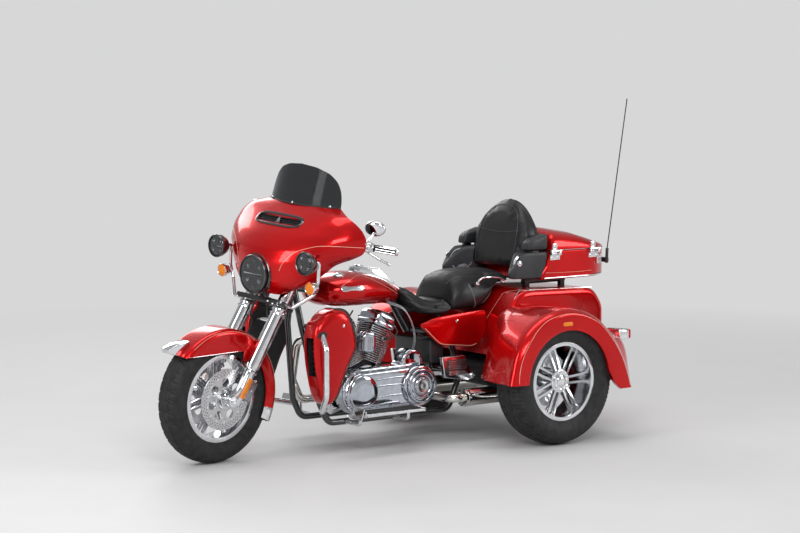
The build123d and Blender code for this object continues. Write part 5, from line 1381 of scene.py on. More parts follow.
def trunk_shell():
    path = trunk_path()
    tangent = np.gradient(path, axis=0)
    inward = np.stack([tangent[:, 1], -tangent[:, 0]], 1) / np.linalg.norm(tangent, axis=1)[:, None]
    inward *= np.sign(((np.array([-190.0, 520.0]) - path) * inward).sum(1))[:, None]
    across = TRUNK_EDGE + [(y, 0) for y in np.linspace(300, -300, 21)]
    across += [(-y, i) for y, i in reversed(TRUNK_EDGE)]
    rows = []
    for y, inset in across:
        p = path + inward * inset
        p[:, 1] = np.where(path[:, 1] < 640, path[:, 1], p[:, 1])
        rows.append([(x, y, z) for x, z in p])
    obj = skin("trunk_shell", rows, RED, wall=5.0, smooth=36, keep=trunk_keeps, flip=True)
    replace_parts(obj, "trunk")
    left, _ = [flat_panel("trunk_side_" + word, [(x, side * TRUNK_HALF, z) for x, _, z in rows[0]], RED, -4)
               for side, word in SIDES]
    kit = Kit().box((-514, -338, 421), (126, 338, 428), 0, 1)
    kit.tube([(-513, y, 441) for y in (-326, 0, 326)], 4, 12, 1)
    kit.build("trunk_floor", [TEXTURED_BLACK, CHROME_SOFT], "chassis", "black_plastic")
    return [obj, left]


def trunk_trim():
    kit = Kit()
    for side in BOTH:
        y = side * 292
        kit.box((-526, y - 22, 352), (-519, y + 22, 380), 1, 2)
        kit.box((-523.5, y - 25, 349), (-518, y + 25, 383), 0, 2)
        edge = ((126, 328, 641), (80, 330, 699), (36, 331, 757.5), (-200, 331, 752.5), (-452, 331, 747))
        kit.tube([(x, side * y, z) for x, y, z in edge], 2.2, 8)
    kit.tube([(-524, y, 330) for y in np.linspace(-230, 230, 9)], 5, 10)
    for y in (-226, 226):
        kit.rod((-518, y, 330), (-525, y, 330), 5, 12)
    kit.build("trunk_trim", [CHROME, RED_LENS], "chassis", "chrome")


def door_trim():
    """The door's handle bar, reflector, lock, light line and rubber edges."""
    kit = Kit()
    kit.tube([(DOOR_X - 1, y, 628) for y in np.linspace(-150, 150, 9)], 4.5, 10)
    kit.box((DOOR_X - 4, -118, 604), (DOOR_X + 1, 118, 618), 1, 2)
    kit.lathe([(16, -1), (16, 3), (13, 5), (8, 5), (7.4, 3.4), (0.3, 3.4)], (DOOR_X, 0, 556), BACK, 32)
    kit.box((DOOR_X - 4, -1.2, 550), (DOOR_X - 3, 1.2, 562), 2)
    for side in BOTH:
        line = ((300, 452), (303, 560), (296, 622), (240, 630), (160, 631))
        kit.tube([(DOOR_X - 0.4, side * y, z) for y, z in line], 1.3, 6, 3)
        kit.tube([(DOOR_X + 3, side * y, z) for y, z in ((318, 446), (318.5, 540), (318, 638))], 1.6, 6, 2)
    kit.build("trunk_door_trim", [CHROME, RED_LENS, RUBBER, STRIPE], "trunk_door", "chrome")


trunk = trunk_shell()
trunk_trim()
door_trim()
TRUNK_STRIPE = [(487, 318), (499, 299), (506, 292), (530, 289), (556, 288.5), (584, 289)]  # in the photograph
stripes("trunk_stripes", traced(trunk, TRUNK_STRIPE, 60), 2.6)


# ---------------------------------------------------------------- top case
CASE_REAR = graph([796, 820, 850, 885, 946, 1100], [-604, -634, -656, -668, -668, -668])
LID_HEIGHT = graph([-668, -620, -540, -400, -300, -206], [962, 976, 999, 1038, 1053, 1060])
CASE_HALF, CASE_FLOOR, CASE_LEAN, CASE_COUNT, LID_FRONT = 300, 796, 0.436, 112, -206
CASE_LAYERS = ((797, 150), (797, 40), (797.4, 14), (800, 5), (806, 0.8), (816, 0), (850, 0), (885, 0),
               (920, 0), (938, 0), (942, 0.6), (943.6, 2.6))  # Z, inset
HINGE_Y, HINGE_Z = 312, 946


def case_ring(z, inset, front=None):
    """A level slice of the case: upright at the front, widely rounded at the rear."""
    front = (-135 - (min(z, 945) - CASE_FLOOR) * CASE_LEAN if front is None else front) - inset
    rear, half = CASE_REAR(z) + inset, CASE_HALF - inset
    corner = [(-470, half), (-520, half - 8), (-606, half - 58), (-650, half - 112), (rear, half - 150),
              (rear, 60), (rear, 0)]
    line = [(front, 0), (front, 140)] + arc_points((front - 12, half - 12), 12, 0, 90, 8) + [(-430, half)]
    line += [tuple(p) for p in soften(resample(corner, 46), 8)]
    line = [(max(x, rear), y) for x, y in line]
    whole = line + [(x, -y) for x, y in reversed(line[1:-1])]
    return [(x, y, z) for x, y in resample(whole + [whole[0]], CASE_COUNT + 1)[:-1]]


def top_case():
    rows = [case_ring(*layer) for layer in CASE_LAYERS]
    obj = skin("top_case_shell", rows, RED, wall=4.5, smooth=40, wrap=True)
    flat_panel("top_case_base", rows[0], RED, -4)
    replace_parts(obj, "tour_box")
    return obj


LID_SHARES = (1.0, 0.999, 0.996, 0.99, 0.98, 0.965, 0.945, 0.92, 0.89, 0.84, 0.76, 0.64, 0.5, 0.34, 0.18, 0.0)


def case_lid():
    rim = np.array(case_ring(946.6, 0.4, LID_FRONT))
    rows = [rim + (0, 0, -0.2), rim + (0, 0, 1.5)]
    for s in LID_SHARES:
        rise = (1 - s**9)**(1 / 2.3)
        ring = [(-415 + (x + 415) * s, y * s) for x, y, _ in rim]
        rows.append([(x, y, 949 + (LID_HEIGHT(x) - 20 * (abs(y) / 300)**2.2 - 949) * rise) for x, y in ring])
    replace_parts(skin("top_lid_shell", rows, RED, "tour_lid", 4.0, 50, wrap=True), "tour_lid")


def case_trim():
    """Hinges on the left, latches on the right, seal and lower rail."""
    low, high = Kit(), Kit()
    for x, y in ((-228, 300), (-494, 296)):
        low.box((x - 33, y - 2, 899), (x + 33, y + 4, 937), 0, 2)
        for a in (x - 34, x + 20):
            low.box((a, y, 924), (a + 14, 317, 940), 0, 2)
            low.rod((a, HINGE_Y, HINGE_Z), (a + 14, HINGE_Y, HINGE_Z), 7.6, 20)
        low.rod((x - 36, HINGE_Y, HINGE_Z), (x + 36, HINGE_Y, HINGE_Z), 4, 12)
        for a in (x - 20, x + 20):
            low.bolt((a, y + 4, 911), LEFT, 6, 4)
        high.box((x - 16, y - 3, 951), (x + 16, y + 3, 984), 0, 2)
        high.box((x - 16, y - 2, 944), (x + 16, 313, 953), 0, 2)
        high.rod((x - 17, HINGE_Y, HINGE_Z), (x + 17, HINGE_Y, HINGE_Z), 7.2, 20)
        high.bolt((x, y + 3, 970), LEFT, 6, 4)
        low.box((x - 17, -y - 6, 905), (x + 17, -y + 1, 938), 0, 3)
        low.box((x - 11, -y - 12, 911), (x + 11, -y - 5, 932), 0, 3)
        high.box((x - 13, -y - 6, 950), (x + 13, -y + 1, 966), 0, 3)
    rail = soften([(x, y * 1.012, 807) for x, y, _ in case_ring(806, 0) if x < -150 and y > 0], 3)
    for flip in BOTH:
        low.tube(rail * [1, flip, 1], 4.2, 10)
    seal, edge = case_ring(944.2, -0.4), case_ring(948.6, -0.3, LID_FRONT)
    low.tube(seal + seal[:1], 1.5, 6, 1).build("top_case_fittings", [CHROME, RUBBER], "chassis", "chrome")
    high.tube(edge + edge[:1], 1.3, 6).build("top_lid_fittings", [CHROME], "tour_lid", "chrome")


case_shell = top_case()
case_lid()
case_trim()
CASE_STRIPE = [(545.5, 273), (560, 272.5), (578, 271.5), (592, 270)]  # in the photograph
stripes("top_case_stripes", traced([case_shell], CASE_STRIPE, 40), 2.2)
POD_PLAN = [(-190, 296), (30, 296), (57, 288), (62, 268), (-8, 224), (-92, 172), (-190, 172)]  # X, Y
POD_TOP = graph([-200, -50, -30, -10, 30, 62], [944, 944, 940, 926, 880, 836])
POD_LOW = graph([-200, 40, 62], [806, 813, 822])
POD_LAYERS = ((0, 0.2), (0, 0.9), (0.02, 0.965), (0.06, 0.99), (0.12, 1), (0.5, 1), (0.86, 1), (0.94, 0.985),
              (0.98, 0.95), (1, 0.88), (1, 0.2))  # share of the height, share of the plan


def pods():
    """Rounded speaker pods with mesh fronts, under the arm pads."""
    kit, rows = Kit(), []
    ring = closed_outline(POD_PLAN, 72, 2)
    middle = ring.mean(0)
    for f, s in POD_LAYERS:
        row = []
        for x, y in middle + (ring - middle) * s:
            z = POD_LOW(x) + (POD_TOP(x) - POD_LOW(x)) * f
            x = min(x, 62)
            row.append((max(x, -141 - (z - CASE_FLOOR) * CASE_LEAN + 8 if y < 300 else x), y, z))
        rows.append(row)
    kit.rings(rows).box((-128, 264, 930), (-84, 294, 953), 0, 4)
    speaker, way = (-28, 226, 874), (0.5, -0.72, 0.28)
    kit.open_lathe([(60, -8), (60, 3), (56, 6), (52, 3), (50, 1)], speaker, way, 56, 1)
    kit.open_lathe([(51, 0), (36, 3.5), (18, 5), (0.4, 5.4)], speaker, way, 48, 2)
    kit.lathe([(15, -2), (15, 3), (12, 5), (0.4, 5.2)], (6, 297, 892), LEFT, 32, 1)
    kit.lathe([(6, 4), (6, 8), (4, 10), (0.3, 10)], (6, 297, 892), LEFT, 24, 1)
    kit.mirrored().build("speaker_pod_shells", [LEATHER_GREY, CHROME_SOFT, GRILLE], "chassis", "body_paint",
                         "speaker_pods", 50)


CORNER_LAMP = np.array([-540.0, 278.0, 886.0])


def rear_lamps():
    """Fender tail lamps with bright backs and the finned lamps round the case's rear corners."""
    kit, corner = Kit(), Kit()
    kit.box((-486, 484, 496), (-418, 596, 552), 0, 12).box((-500, 488, 500), (-484, 592, 548), 1, 8)
    for z in (512, 524, 536):
        kit.tube([(-499.4, 496, z), (-499.8, 540, z), (-499.4, 584, z)], 0.7, 6)
    corner.box((-33, -6, -21), (33, 10, 21), 1, 5).box((-36, -10, -24), (36, -2, 24), 0, 3)
    for k in range(6):
        corner.box((-30 + k * 11, 6, -23), (-25.5 + k * 11, 13, 23), 0, 1.6)
    kit.take(corner, lambda p: turn(p, UP, radians(28.7)) + CORNER_LAMP)
    kit.mirrored().build("tail_lamp_units", [CHROME, RED_LENS], "chassis", "red_lens", "tail_lamps")


SIDE_COVER = [
    (560, 606), (520, 618), (470, 634), (400, 641), (330, 647), (250, 652), (192, 655), (150, 655),
    (136, 650), (134, 600), (136, 545), (150, 520), (211, 474), (300, 480), (380, 488), (437, 497),
    (480, 530), (520, 566)]
COVER_LAYERS = ((179, 0.98), (184, 1), (188.5, 0.992), (191, 0.97), (192, 0.93), (193.5, 0.7), (194.5, 0.4),
                (195, 0.0))


def side_panels():
    """The covers under the seat: curved red panels with a light line along their lower edge."""
    ring = soften(resample(smooth_table(SIDE_COVER, 120, True), 108), 2, True)
    middle = ring.mean(0)
    for side, word in SIDES:
        rows = layers(ring, middle, COVER_LAYERS, side)
        obj = skin("side_cover_" + word, rows, RED, wall=0, smooth=60, wrap=True)
        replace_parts(obj, "side_covers")
    kit = Kit()
    edge = [(x, z) for x, z in middle + (ring - middle) * 0.94 if z < 590 and x > 200]
    edge.sort(key=lambda q: -q[0])
    for side in BOTH:
        kit.tube(soften([(x, side * 192.5, z) for x, z in edge], 2), 1.6, 6)
        kit.lathe([(9, -1), (9, 3), (6, 5), (0.3, 5)], (330, side * 194.5, 610), (0, side, 0), 24, 1)
    kit.build("side_cover_trim", [STRIPE, CHROME], "chassis", "body_paint")


pods()
rear_lamps()
side_panels()


# ---------------------------------------------------------------- engine
CRANK, BANK_LEAN = np.array([825.0, 0.0, 300.0]), radians(22.5)
FIN_COUNT, FIRST_FIN, FIN_STEP = 17, 134, 10.8
BARREL = ((57, 59, 40, 104), (57, 59, 40, 317))  # half across, half Y, corner, distance up the bank
ROCKER_BASE = ((64, 80, 22, 317), (68, 84, 24, 319), (69, 85, 25, 322), (69, 85, 25, 338), (67, 83, 24, 341),
               (63, 79, 22, 342))
ROCKER_TOP = ((62, 78, 24, 341), (66, 82, 25, 343), (66.5, 82.5, 26, 346), (66, 82, 26, 366),
              (65, 80.5, 27, 376), (61, 76, 28, 386), (54, 68, 27, 393), (42, 56, 24, 396.4),
              (20, 30, 14, 397.6))


def bank(lean, up, across, y):
    """A point on a cylinder bank: up it from the crank, across it, and to the left."""
    c, s = cos(BANK_LEAN), sin(BANK_LEAN) * lean
    return CRANK + (up * s + across * c, y, up * c - across * s)


def bank_rings(kit, lean, rings, material=0):
    """A closed form on a bank over rings of (half across, half Y, corner, distance up)."""
    rows = [[bank(lean, up, p, q) for p, q in round_rect(a, b, corner)] for a, b, corner, up in rings]
    kit.rings(rows, material, last=False).disc(rows[-1], material)


def cylinder_banks():
    fins, tops = Kit(), Kit()
    for lean in BOTH:
        bank_rings(fins, lean, BARREL, 1)
        for k in range(FIN_COUNT):
            up, a = FIRST_FIN + FIN_STEP * k, 74 if k > 5 else 62 + 2 * k
            bank_rings(fins, lean, [(a - 1, 76, 26, up), (a, 77, 27, up + 0.8), (a, 77, 27, up + 3),
                                    (a - 1, 76, 26, up + 3.8)])
        fins.rod(bank(lean, 262, 20 * lean, 70), bank(lean, 262, 20 * lean, 84), 13, 24, 2)
        fins.rod(bank(lean, 262, 20 * lean, 80), bank(lean, 268, 20 * lean, 97), 8, 16, 3)
        bank_rings(tops, lean, ROCKER_BASE)
        bank_rings(tops, lean, ROCKER_TOP)
        for across in (-62.4, 62.4):
            for y in (-74.24, 0, 74.24):
                tops.bolt(bank(lean, 341, across, y), bank(lean, 1, 0, 0) - CRANK, 5.5, 7)
        for across in (-44, 0, 44):
            tops.bolt(bank(lean, 331, across, 84), LEFT, 6.5, 7)
        for across in (-26, 26):
            foot = np.array([825 + lean * 62 + across * 0.7, -110, 368])
            run = bank(lean, 322, across, -96) - foot
            tops.rod(foot, foot + run, 9.5, 20)
            for f in (0.03, 0.46, 0.9):
                tops.rod(foot + run * f, foot + run * (f + 0.05), 13.5, 20)
    fins.build("cylinder_fins", [FIN_METAL, DARK_CAST, CAST, RUBBER], "chassis", "case_metal", "cylinders")
    tops.build("rocker_boxes", [SHADED_CHROME], "chassis", "chrome", "rocker_covers", 50)


PRIMARY_FRONT, PRIMARY_REAR = (912, 0, 294), (572, 0, 303)  # the cover's round ends
PRIMARY_LAYERS = ((93, 2), (160, 0), (168, 0.5), (171, 3), (172, 9), (173, 13), (180, 16), (186, 20),
                  (189.4, 27), (190, 40), (190.3, 70))  # Y, inset
PRIMARY_RIBS = (((640, 356), (850, 350)), ((672, 318), (850, 318)), ((664, 268), (836, 262)),
                ((700, 232), (850, 224)))
STARTER = (592, 421)  # X, Z
FLANK = [(510, 363), (512, 410), (540, 440), (650, 430), (702, 392), (700, 330), (510, 330)]
FLANK_LAYERS = ((94, 1), (150, 1), (156, 0.985), (159, 0.95), (160, 0.88), (160.3, 0.3))


def primary_cover():
    plate = Kit()
    (front_x, _, front_z), (rear_x, _, rear_z) = PRIMARY_FRONT, PRIMARY_REAR
    hull = arc_points((front_x, front_z), 114, -92, 90, 40) + arc_points((rear_x, rear_z), 113, 90, 268, 40)
    hull = closed_outline(hull, 120, 1)
    x = hull[:, 0]
    spine_z = np.where(x > front_x, front_z, np.where(x < rear_x, rear_z, 298.0))
    spine = np.stack([np.clip(x, rear_x, front_x), spine_z], 1)
    outward = (hull - spine) / np.linalg.norm(hull - spine, axis=1)[:, None]
    rows = [[(x, y, z) for x, z in hull - outward * d] for y, d in PRIMARY_LAYERS]
    plate.rings(rows, 0, False, False).disc(rows[-1])
    for x, z in (hull - outward * 6.5)[::9]:
        plate.bolt((x, 171.5, z), LEFT, 6, 6, 1)
    rim = [(112, 110), (112, 171), (110, 180), (106, 192), (103, 203), (99, 209), (93, 211.6), (90, 211.6)]
    plate.open_lathe(rim, PRIMARY_REAR, LEFT, 96)
    plate.open_lathe([(88, 186), (84, 194), (78, 197.4), (40, 198), (0.4, 198)], PRIMARY_FRONT, LEFT, 72)
    for a, b in PRIMARY_RIBS:
        rib = smooth_table([a, ((a[0] + b[0]) / 2, (a[1] + b[1]) / 2 + 3), b], 12)
        plate.tube([(x, 188.8, z) for x, z in rib], 5.2, 12)
    plate.lathe([(64, 96), (64, 158), (62, 163), (56, 167), (44, 167.6), (36, 164), (0.4, 164)],
                around(STARTER, 0, 0, 0), LEFT, 64)
    plate.bolt_ring(STARTER, 167, LEFT, 50, range(0, 360, 72), 5, 4, 1)
    flank = closed_outline(FLANK, 60, 2)
    rows = layers(flank, flank.mean(0), FLANK_LAYERS)
    plate.rings(rows, 0, False, False).disc(rows[-1])
    plate.build("primary_shell", [SHADED_CHROME, CHROME], "chassis", "chrome", "primary_cover", 45)


def round_covers():
    """The derby cover on the primary, the cam cover and the air cleaner."""
    ring = Kit()
    ring.lathe([(88, 0), (88, 7), (85, 11), (80, 13.4), (76, 12.6), (73, 8.5), (66, 8.5), (63, 12), (57, 14),
                (51, 12.6), (49, 10), (46, 10), (43, 14), (40, 15.6), (38, 15)], (572, 212, 303), LEFT, 96)
    ring.lathe([(38.5, 14), (37, 16.4), (30, 17.4), (27, 16), (12, 17), (0.4, 17.4)],
               (572, 212, 303), LEFT, 64, 1)
    ring.bolt_ring((572, 303), 219, LEFT, 70, range(18, 378, 72), 6, 7)
    ring.build("derby_ring", [SHADED_CHROME, BADGE], "chassis", "chrome", "derby_cover")
    ring = Kit()
    ring.lathe([(96, 0), (96, 20), (93, 26), (86, 29), (80, 27), (77, 23), (60, 23), (56, 27), (48, 30),
                (20, 33), (0.4, 34)], (825, -92, 300), RIGHT, 96)
    ring.bolt_ring((825, 300), -115, RIGHT, 70, range(0, 360, 60), 6, 6)
    ring.build("cam_cover_ring", [CHROME_SOFT], "chassis", "chrome", "gear_cover")
    ring = Kit()
    ring.lathe([(70, 0), (84, 3), (91, 9), (92, 16), (92, 34), (88, 37), (88, 43), (92, 46), (92, 88),
                (90, 100), (84, 110), (72, 117), (66, 118), (63, 115), (40, 116), (20, 119), (0.4, 120)],
               (825, -112, 560), RIGHT, 96)
    ring.rod((825, -112, 560), (825, -34, 560), 30, 32, 1)
    ring.bolt_ring((825, 560), -227, RIGHT, 52, range(30, 390, 120), 6, 4)
    ring.build("air_cleaner_drum", [CHROME, CAST], "chassis", "chrome", "air_cleaner")


HORN_LAYERS = ((107, 0.9), (110, 0.98), (114, 1), (128, 1), (130, 0.97), (133, 0.97), (135, 1), (146, 0.99),
               (153, 0.95), (158, 0.88), (160.4, 0.76), (161, 0.5))  # Y, share of the outline


def horn():
    hood, outline = Kit(), round_rect(39, 52, 24, 10)
    rows = [[(850 + p * s, y, 536 + q * s + 4 * (q > 0) * (1 - (p / 39)**2)) for p, q in outline]
            for y, s in HORN_LAYERS]
    hood.rings(rows, last=False).disc(rows[-1])
    hood.rod((829, 60, 556), (829, 108, 556), 14, 24).rod((768, 72, 560), (882, 72, 560), 10, 20)
    for x in (838, 850, 862):
        hood.box((x - 2.6, 159, 500), (x + 2.6, 163.5, 566), 0, 1.2)
    hood.build("horn_cover", [SHADED_CHROME], "chassis", "chrome", "horn", 45)


def engine_details():
    """The oil filter, case bolts, cables, plug wires, shift linkage and the boxes behind the engine."""
    kit = Kit()
    kit.rod((926, 34, 238), (1008, 34, 216), 38, 40)
    kit.lathe([(38, 0), (38, 10), (33, 14), (20, 15), (0.4, 15)], (1006, 34, 216.5), (82, 0, -22), 40)
    for x in range(470, 720, 62):
        kit.box((x, -94.5, 214), (x + 8, -90, 352), 1, 1.5)
    for x, z in ((448, 216), (448, 346), (560, 216), (690, 214), (560, 348), (660, 352)):
        kit.bolt((x, -92, z), RIGHT, 7, 7)
    for y in (-60, 60):
        kit.box((452, y - 24, 362), (560, y + 24, 376), 1, 5)
    for y, z in ((96, 700), (104, 692)):
        cable = [(700, y, z + 24), (648, y + 16, z + 8), (606, y + 26, z - 22), (572, y + 30, z - 78),
                 (548, y + 26, z - 150), (540, y, z - 230)]
        kit.tube(smooth_table(cable, 40), 3.6, 10, 1)
    for lean in BOTH:
        wire = [bank(lean, 268, 20 * lean, 96), bank(lean, 282, 40 * lean, 112),
                bank(lean, 330, 52 * lean, 108), (825 + lean * 60, 60, 690)]
        kit.tube(smooth_table(wire, 30), 4, 8, 2)
    shift_rod = [(1030, 222, 196), (1000, 226, 176), (880, 224, 190), (700, 226, 196), (560, 222, 214)]
    kit.tube(smooth_table(shift_rod, 30), 5, 10).rod((1024, 220, 196), (1024, 300, 214), 7, 14)
    kit.rod((1024, 284, 214), (1024, 330, 224), 11, 16, 2).box((470, 96, 372), (520, 150, 396), 1, 6)
    kit.tube(smooth_table([(430, 150, 700), (404, 140, 600), (396, 120, 470), (430, 96, 380)], 24), 7, 10, 2)
    kit.box((380, -150, 400), (470, 150, 520), 3, 10)
    kit.build("engine_details", [CHROME, CAST, RUBBER, SATIN_BLACK], "chassis", "case_metal")


def exhaust_trim():
    """The mufflers' end rings and dark ends, and clamps along the pipes."""
    kit = Kit()
    for side in BOTH:
        y = side * 235
        kit.open_lathe([(40, 3), (44.6, 0), (45.4, -3), (45.4, -26), (44.2, -29)], (-420, y, 222), BACK)
        kit.open_lathe([(39.5, -1), (39.5, 1.4), (36, 2), (0.4, 2)], (-420, y, 222), BACK, 40, 1)
        for x in (300, -120):
            kit.open_lathe([(44.2, 0), (46.4, 1.5), (46.4, 14.5), (44.2, 16)], (x, y, 222), FORWARD)
            kit.bolt((x + 8, y, 269), UP, 5, 6)
    for x in (900, 560):
        kit.open_lathe([(21.2, 0), (24, 1.5), (24, 14), (21.2, 16)], (x, -210, 222), FORWARD, 32)
    kit.build("exhaust_trim", [CHROME, SATIN_BLACK], "chassis", "chrome")


cylinder_banks()
primary_cover()
round_covers()
horn()
engine_details()
exhaust_trim()


# ---------------------------------------------------------------- lower fairings and boards
LOWER_X, LOWER_MIDDLE = 1206.1, np.array([1196.0, 545.0])
LOWER_LINE = [(56, 700), (-6, 735), (-76, 728), (-110, 680), (-140, 560), (-88, 450), (-16, 300), (48, 300),
              (94, 480), (96, 640)]  # X from LOWER_X, Z
LOWER_LAYERS = (
    (246, 0.97), (248, 0.99), (252, 1), (268, 1), (283, 1), (297, 1), (311, 1), (319, 0.998), (326, 0.99),
    (333, 0.972), (340, 0.94), (345, 0.9), (349, 0.84), (351.5, 0.74), (353, 0.6), (354, 0.4), (354.5, 0.2),
    (354.8, 0))
LOWER_BACK = ((250.5, 0.985), (246.5, 0.985), (243.5, 0.96), (242.5, 0.9), (242.5, 0))
SLOT_WALLS = (((1226, 268, 416), (1232, 328, 616)), ((1228, 268, 416), (1298, 270, 616)),
              ((1228, 324, 416), (1296, 326, 616)), ((1228, 268, 414), (1290, 326, 417)),
              ((1228, 268, 614), (1296, 326, 617)))


def lower_keeps(x, y, z):
    """The lower fairing is open at the slot on its front edge."""
    return not (x > 1250 and 270 < abs(y) < 326 and 420 < z < 612)


def lower_fairings():
    line = [(LOWER_X + a, z) for a, z in LOWER_LINE]
    ring = soften(resample(smooth_table(line, 200, True), 120), 2, True)
    for side, word in SIDES:
        rows = layers(ring, LOWER_MIDDLE, LOWER_LAYERS, side)
        obj = skin("lower_fairing_" + word, rows, RED, smooth=50, keep=lower_keeps, flip=side < 0, wrap=True)
        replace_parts(obj, "lower_fairings")
    trim = Kit().rings(layers(ring, LOWER_MIDDLE, LOWER_BACK), 0, False, False)
    edge = LOWER_MIDDLE + (ring - LOWER_MIDDLE) * 0.995
    lip = [(x - 1.5, 250, z) for x, z in edge if x < LOWER_MIDDLE[0]]
    lip = np.array(sorted(lip, key=lambda q: -q[2]))
    trim.tube(lip, 6.5, 10).tube(lip + (-7, 68, 0), 10, 12)
    for low, high in SLOT_WALLS:
        trim.box(low, high, 1)
    for z in range(440, 610, 24):
        trim.box((1252, 272, z), (1282, 322, z + 4), 1, 1)
    trim.open_lathe([(25, -3), (25, 2.5), (21, 4), (17, 2), (16, -6)], (1273, 352.5, 618),
                    (0.12, 0.94, -0.35), 40)
    crease = [(1120, 353.6, 610), (1160, 354.4, 606), (1215, 354.6, 606), (1240, 354.2, 608)]
    trim.tube(smooth_table(crease, 20), 1.2, 6, 1)
    trim.lathe([(8, 0), (8, 3), (5, 4.6), (0.3, 4.6)], (1150, 352, 660), LEFT, 20, 2)
    trim.mirrored().build("lower_fairing_trim", [RUBBER, SATIN_BLACK, CHROME], "chassis", "black_plastic")


HEEL_PLATE = [(1018, 238, 186), (1040, 352, 186), (1022, 352, 240), (1000, 238, 240)]


def foot_boards():
    kit = Kit().box((664, 248, 212), (996, 342, 217), 0, 2)
    for y in range(254, 340, 10):
        kit.box((670, y, 216), (990, y + 5, 219.5), 0, 1.2)
    kit.box((1004, 262, 196), (1012, 344, 226), 1, 3).box((646, 244, 197), (652, 346, 216), 1, 2)
    kit.rings([HEEL_PLATE, [(x + 6, y, z) for x, y, z in HEEL_PLATE]], 3)
    for z, w, h in ((392, 62, 26), (350, 56, 12)):
        kit.box((352 - w, 216, z - h), (352 + w, 224, z + h), 0, 4)
        for k in range(-2, 3):
            rib = z + k * h * 0.36
            kit.box((360 - w, 222, rib - 2), (344 + w, 226, rib + 2), 2, 1)
    kit.rod((250, 200, 330), (250, 226, 330), 12, 20, 2)
    kit.mirrored().build("foot_board_pads", [RUBBER, CHROME_SOFT, CHROME, MACHINED], "chassis", "rubber")


lower_fairings()
foot_boards()


# ---------------------------------------------------------------- console and controls
GRIP_IN, GRIP_OUT = np.array([996.0, 345, 1049]), np.array([912.0, 440, 1034])
GRIP_RUN = (GRIP_OUT - GRIP_IN) / np.linalg.norm(GRIP_OUT - GRIP_IN)
GRIP_START = GRIP_OUT - GRIP_RUN * 118


def console_trim():
    kit = Kit()
    kit.lathe([(22, -2), (22, 4), (19, 7), (14, 7), (13, 4), (0.3, 4)], (806, 0, 903), (-0.18, 0, 0.98), 40)
    kit.box((608, -34, 808), (622, 34, 814), 1, 2)
    kit.build("console_trim", [CHROME, SATIN_BLACK], "chassis", "chrome")


def grips():
    """Ribbed rubber grips with bright inlays and end caps."""
    kit, profile = Kit(), [(15, 0), (18.5, 1), (18.5, 6), (16.2, 8)]
    for k in range(7):
        h = 14 + k * 13.5
        profile += [(16.2, h), (17.6, h + 1.5), (17.6, h + 7.5), (16.2, h + 9)]
    kit.lathe(profile + [(16.4, 112), (16.4, 116)], GRIP_START, GRIP_RUN, 32)
    for t in range(0, 360, 45):
        side = GRIP_START + turn(np.cross(GRIP_RUN, UP), GRIP_RUN, radians(t))[0] * 17.3
        kit.rod(side + GRIP_RUN * 12, side + GRIP_RUN * 108, 1.9, 8, 1)
    kit.lathe([(17.4, 112), (19, 114), (19, 121), (16, 124.4), (8, 125.6), (0.3, 126)],
              GRIP_START, GRIP_RUN, 32, 1)
    kit.mirrored().build("grip_sleeves", [RUBBER, CHROME], "steering", "rubber", "grips")


HOSES = (
    (5, [(1038, 318, 1062), (1075, 300, 1080), (1128, 264, 1085), (1180, 200, 1085), (1215, 130, 1070)]),
    (4, [(1030, 326, 1046), (1062, 290, 1052), (1120, 250, 1052), (1190, 150, 1040), (1230, 90, 1000)]))


def bar_controls():
    """Switch housings, the mirrors' ball joints, hoses and the bar clamp."""
    kit, hub = Kit(), GRIP_START - GRIP_RUN * 4
    kit.lathe([(14, -46), (22, -44), (25, -38), (25, -6), (22, -1), (15, 0)], hub, GRIP_RUN, 32)
    kit.lathe([(14, -66), (17, -64), (17, -54), (14, -52)], hub, GRIP_RUN, 32)
    block = hub - GRIP_RUN * 22
    kit.rod(block, block + (34, 8, 6), 13, 20).rod(block + (30, 4, 4), block + (40, 12, 8), 9, 16, 1)
    for k in (-1, 0, 1):
        at = block - GRIP_RUN * k * 12 + (-20, -10, 10)
        kit.rod(at, at + (-8, -3, 5), 4.6, 14, 1)
    kit.rod(block + (10, 0, 16), block + (10, 0, 40), 6)
    kit.lathe([(2, -8), (6, -6.5), (8.4, -2), (8.4, 2), (6, 6.5), (2, 8)],
              (974, 450, 980), (-36, 36, -24), 20)
    for radius, hose in HOSES:
        kit.tube(smooth_table(hose, 40), radius, 10, 1)
    kit.box((1222, -78, 990), (1258, 78, 1024), 0, 7)
    for y in (-50, -20, 20, 50):
        kit.bolt((1240, y, 1022), UP, 5.5, 6)
    kit.build("bar_controls", [CHROME, RUBBER], "steering", "chrome")


MIRROR_LAYERS = ((-9, 0.86), (-11.5, 0.9), (-12, 0.97), (-9, 1.0), (-2, 1.0), (4, 0.96), (9, 0.84),
                 (11.5, 0.66), (12, 0.42), (12, 0))  # X, share of the oval


def mirrors():
    kit = Kit()

    def oval(x, s):
        ring = [(x, 54 * s * cos(t), 39 * s * sin(t)) for t in angles(64)]
        return turn(turn(ring, UP, radians(20)), LEFT, radians(12)) + [1058, 424, 1156]

    kit.rings([oval(x, s) for x, s in MIRROR_LAYERS], 0, False, False).disc(oval(-9.5, 0.87), 1)
    stalk = [(1128, 430, 1084), (1110, 431, 1100), (1082, 428, 1120), (1060, 424, 1140)]
    kit.tube(smooth_table(stalk, 24), 6.6)
    kit.mirrored().build("mirror_heads", [CHROME, MIRROR], "steering", "chrome", "mirrors")


DIALS = ((68, 1150, 44), (150, 1170, 25), (204, 1150, 22), (285, 1080, 58))  # Y, Z, radius


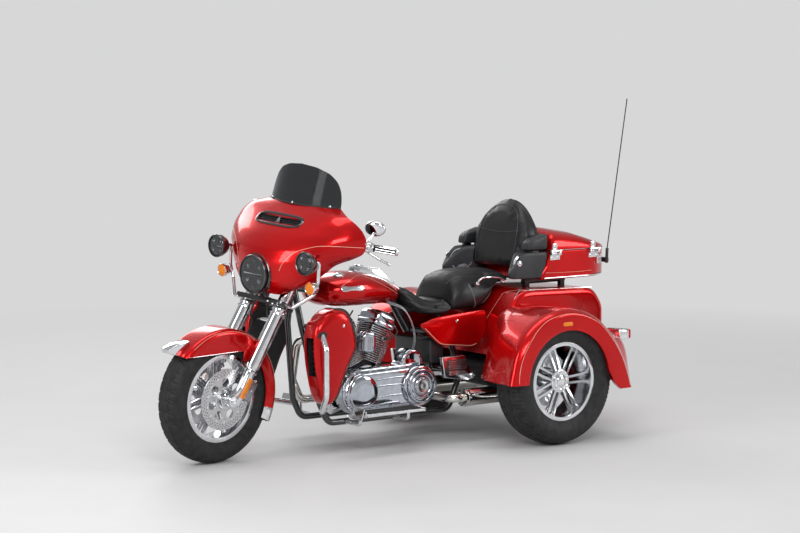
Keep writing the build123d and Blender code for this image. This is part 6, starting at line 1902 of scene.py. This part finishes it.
def gauges():
    """Plain round dials, small gauges, speakers and a blank screen on the rider's side of the fairing."""
    kit = Kit()
    inner = [bpy.data.objects["fairing_inner_dressed"]]
    for y, z, r in [(side * y, z, r) for y, z, r in DIALS for side in BOTH]:
        x = cast(inner, [(1000, y, z)], FORWARD, True)[0][0][0] + 1
        kit.open_lathe([(r, 0), (r + 1, 4), (r - 1, 9), (r - 5, 9.5), (r - 7, 5)], (x, y, z), BACK)
        kit.open_lathe([(r - 6, 4.5), (r * 0.5, 5), (0.4, 5)], (x, y, z), BACK, 48, 2 if r > 50 else 1)
        if r > 50:
            continue
        for t in [radians(a) for a in range(-40, 240, 26)]:
            mark, end = ((x - 5.4, y + d * cos(t), z + d * sin(t)) for d in (r - 11, r - 8))
            kit.rod(mark, end, 0.8, 6, 3)
        kit.rod((x - 6, y, z), (x - 6, y + r * 0.5, z - r * 0.35), 1.1, 6, 4)
        kit.lathe([(3.5, 5), (3.5, 7), (0.3, 8)], (x, y, z), BACK, 16)
    x = cast(inner, [(1000, 0, 1060)], FORWARD, True)[0][0][0]
    kit.box((x - 7, -92, 1024), (x + 2, 92, 1094), 0, 4).box((x - 9, -74, 1032), (x - 5, 74, 1088), 1, 2)
    for y in range(-72, 73, 18):
        kit.box((x - 10, y - 5, 1012), (x + 2, y + 5, 1020), 0, 2)
    materials = [CHROME_SOFT, GLOSS_BLACK, GRILLE, BADGE, RED_LENS]
    kit.build("fairing_gauges", materials, "steering", "black_plastic")


def fender_trim():
    """The light line and the bright lower edge of the front fender."""
    shell = [bpy.data.objects["front_fender_dressed"]]
    arc = [around((WHEELBASE, 322.4), 330, t, 120) for t in np.linspace(52, 184, 120)]
    stripes("front_fender_stripes", cast(shell, arc, RIGHT, True), 2.6, "steering")
    hits = cast(shell, [(x, 120, 551) for x in np.linspace(1575, 1905, 60)], RIGHT, True)
    kit = Kit().tube(soften([p + n * 1.4 for p, n in hits], 3), 0.9, 8)
    kit.mirrored().build("front_fender_trim", [CHROME], "steering", "chrome")


console_trim()
grips()
bar_controls()
mirrors()
gauges()
fender_trim()
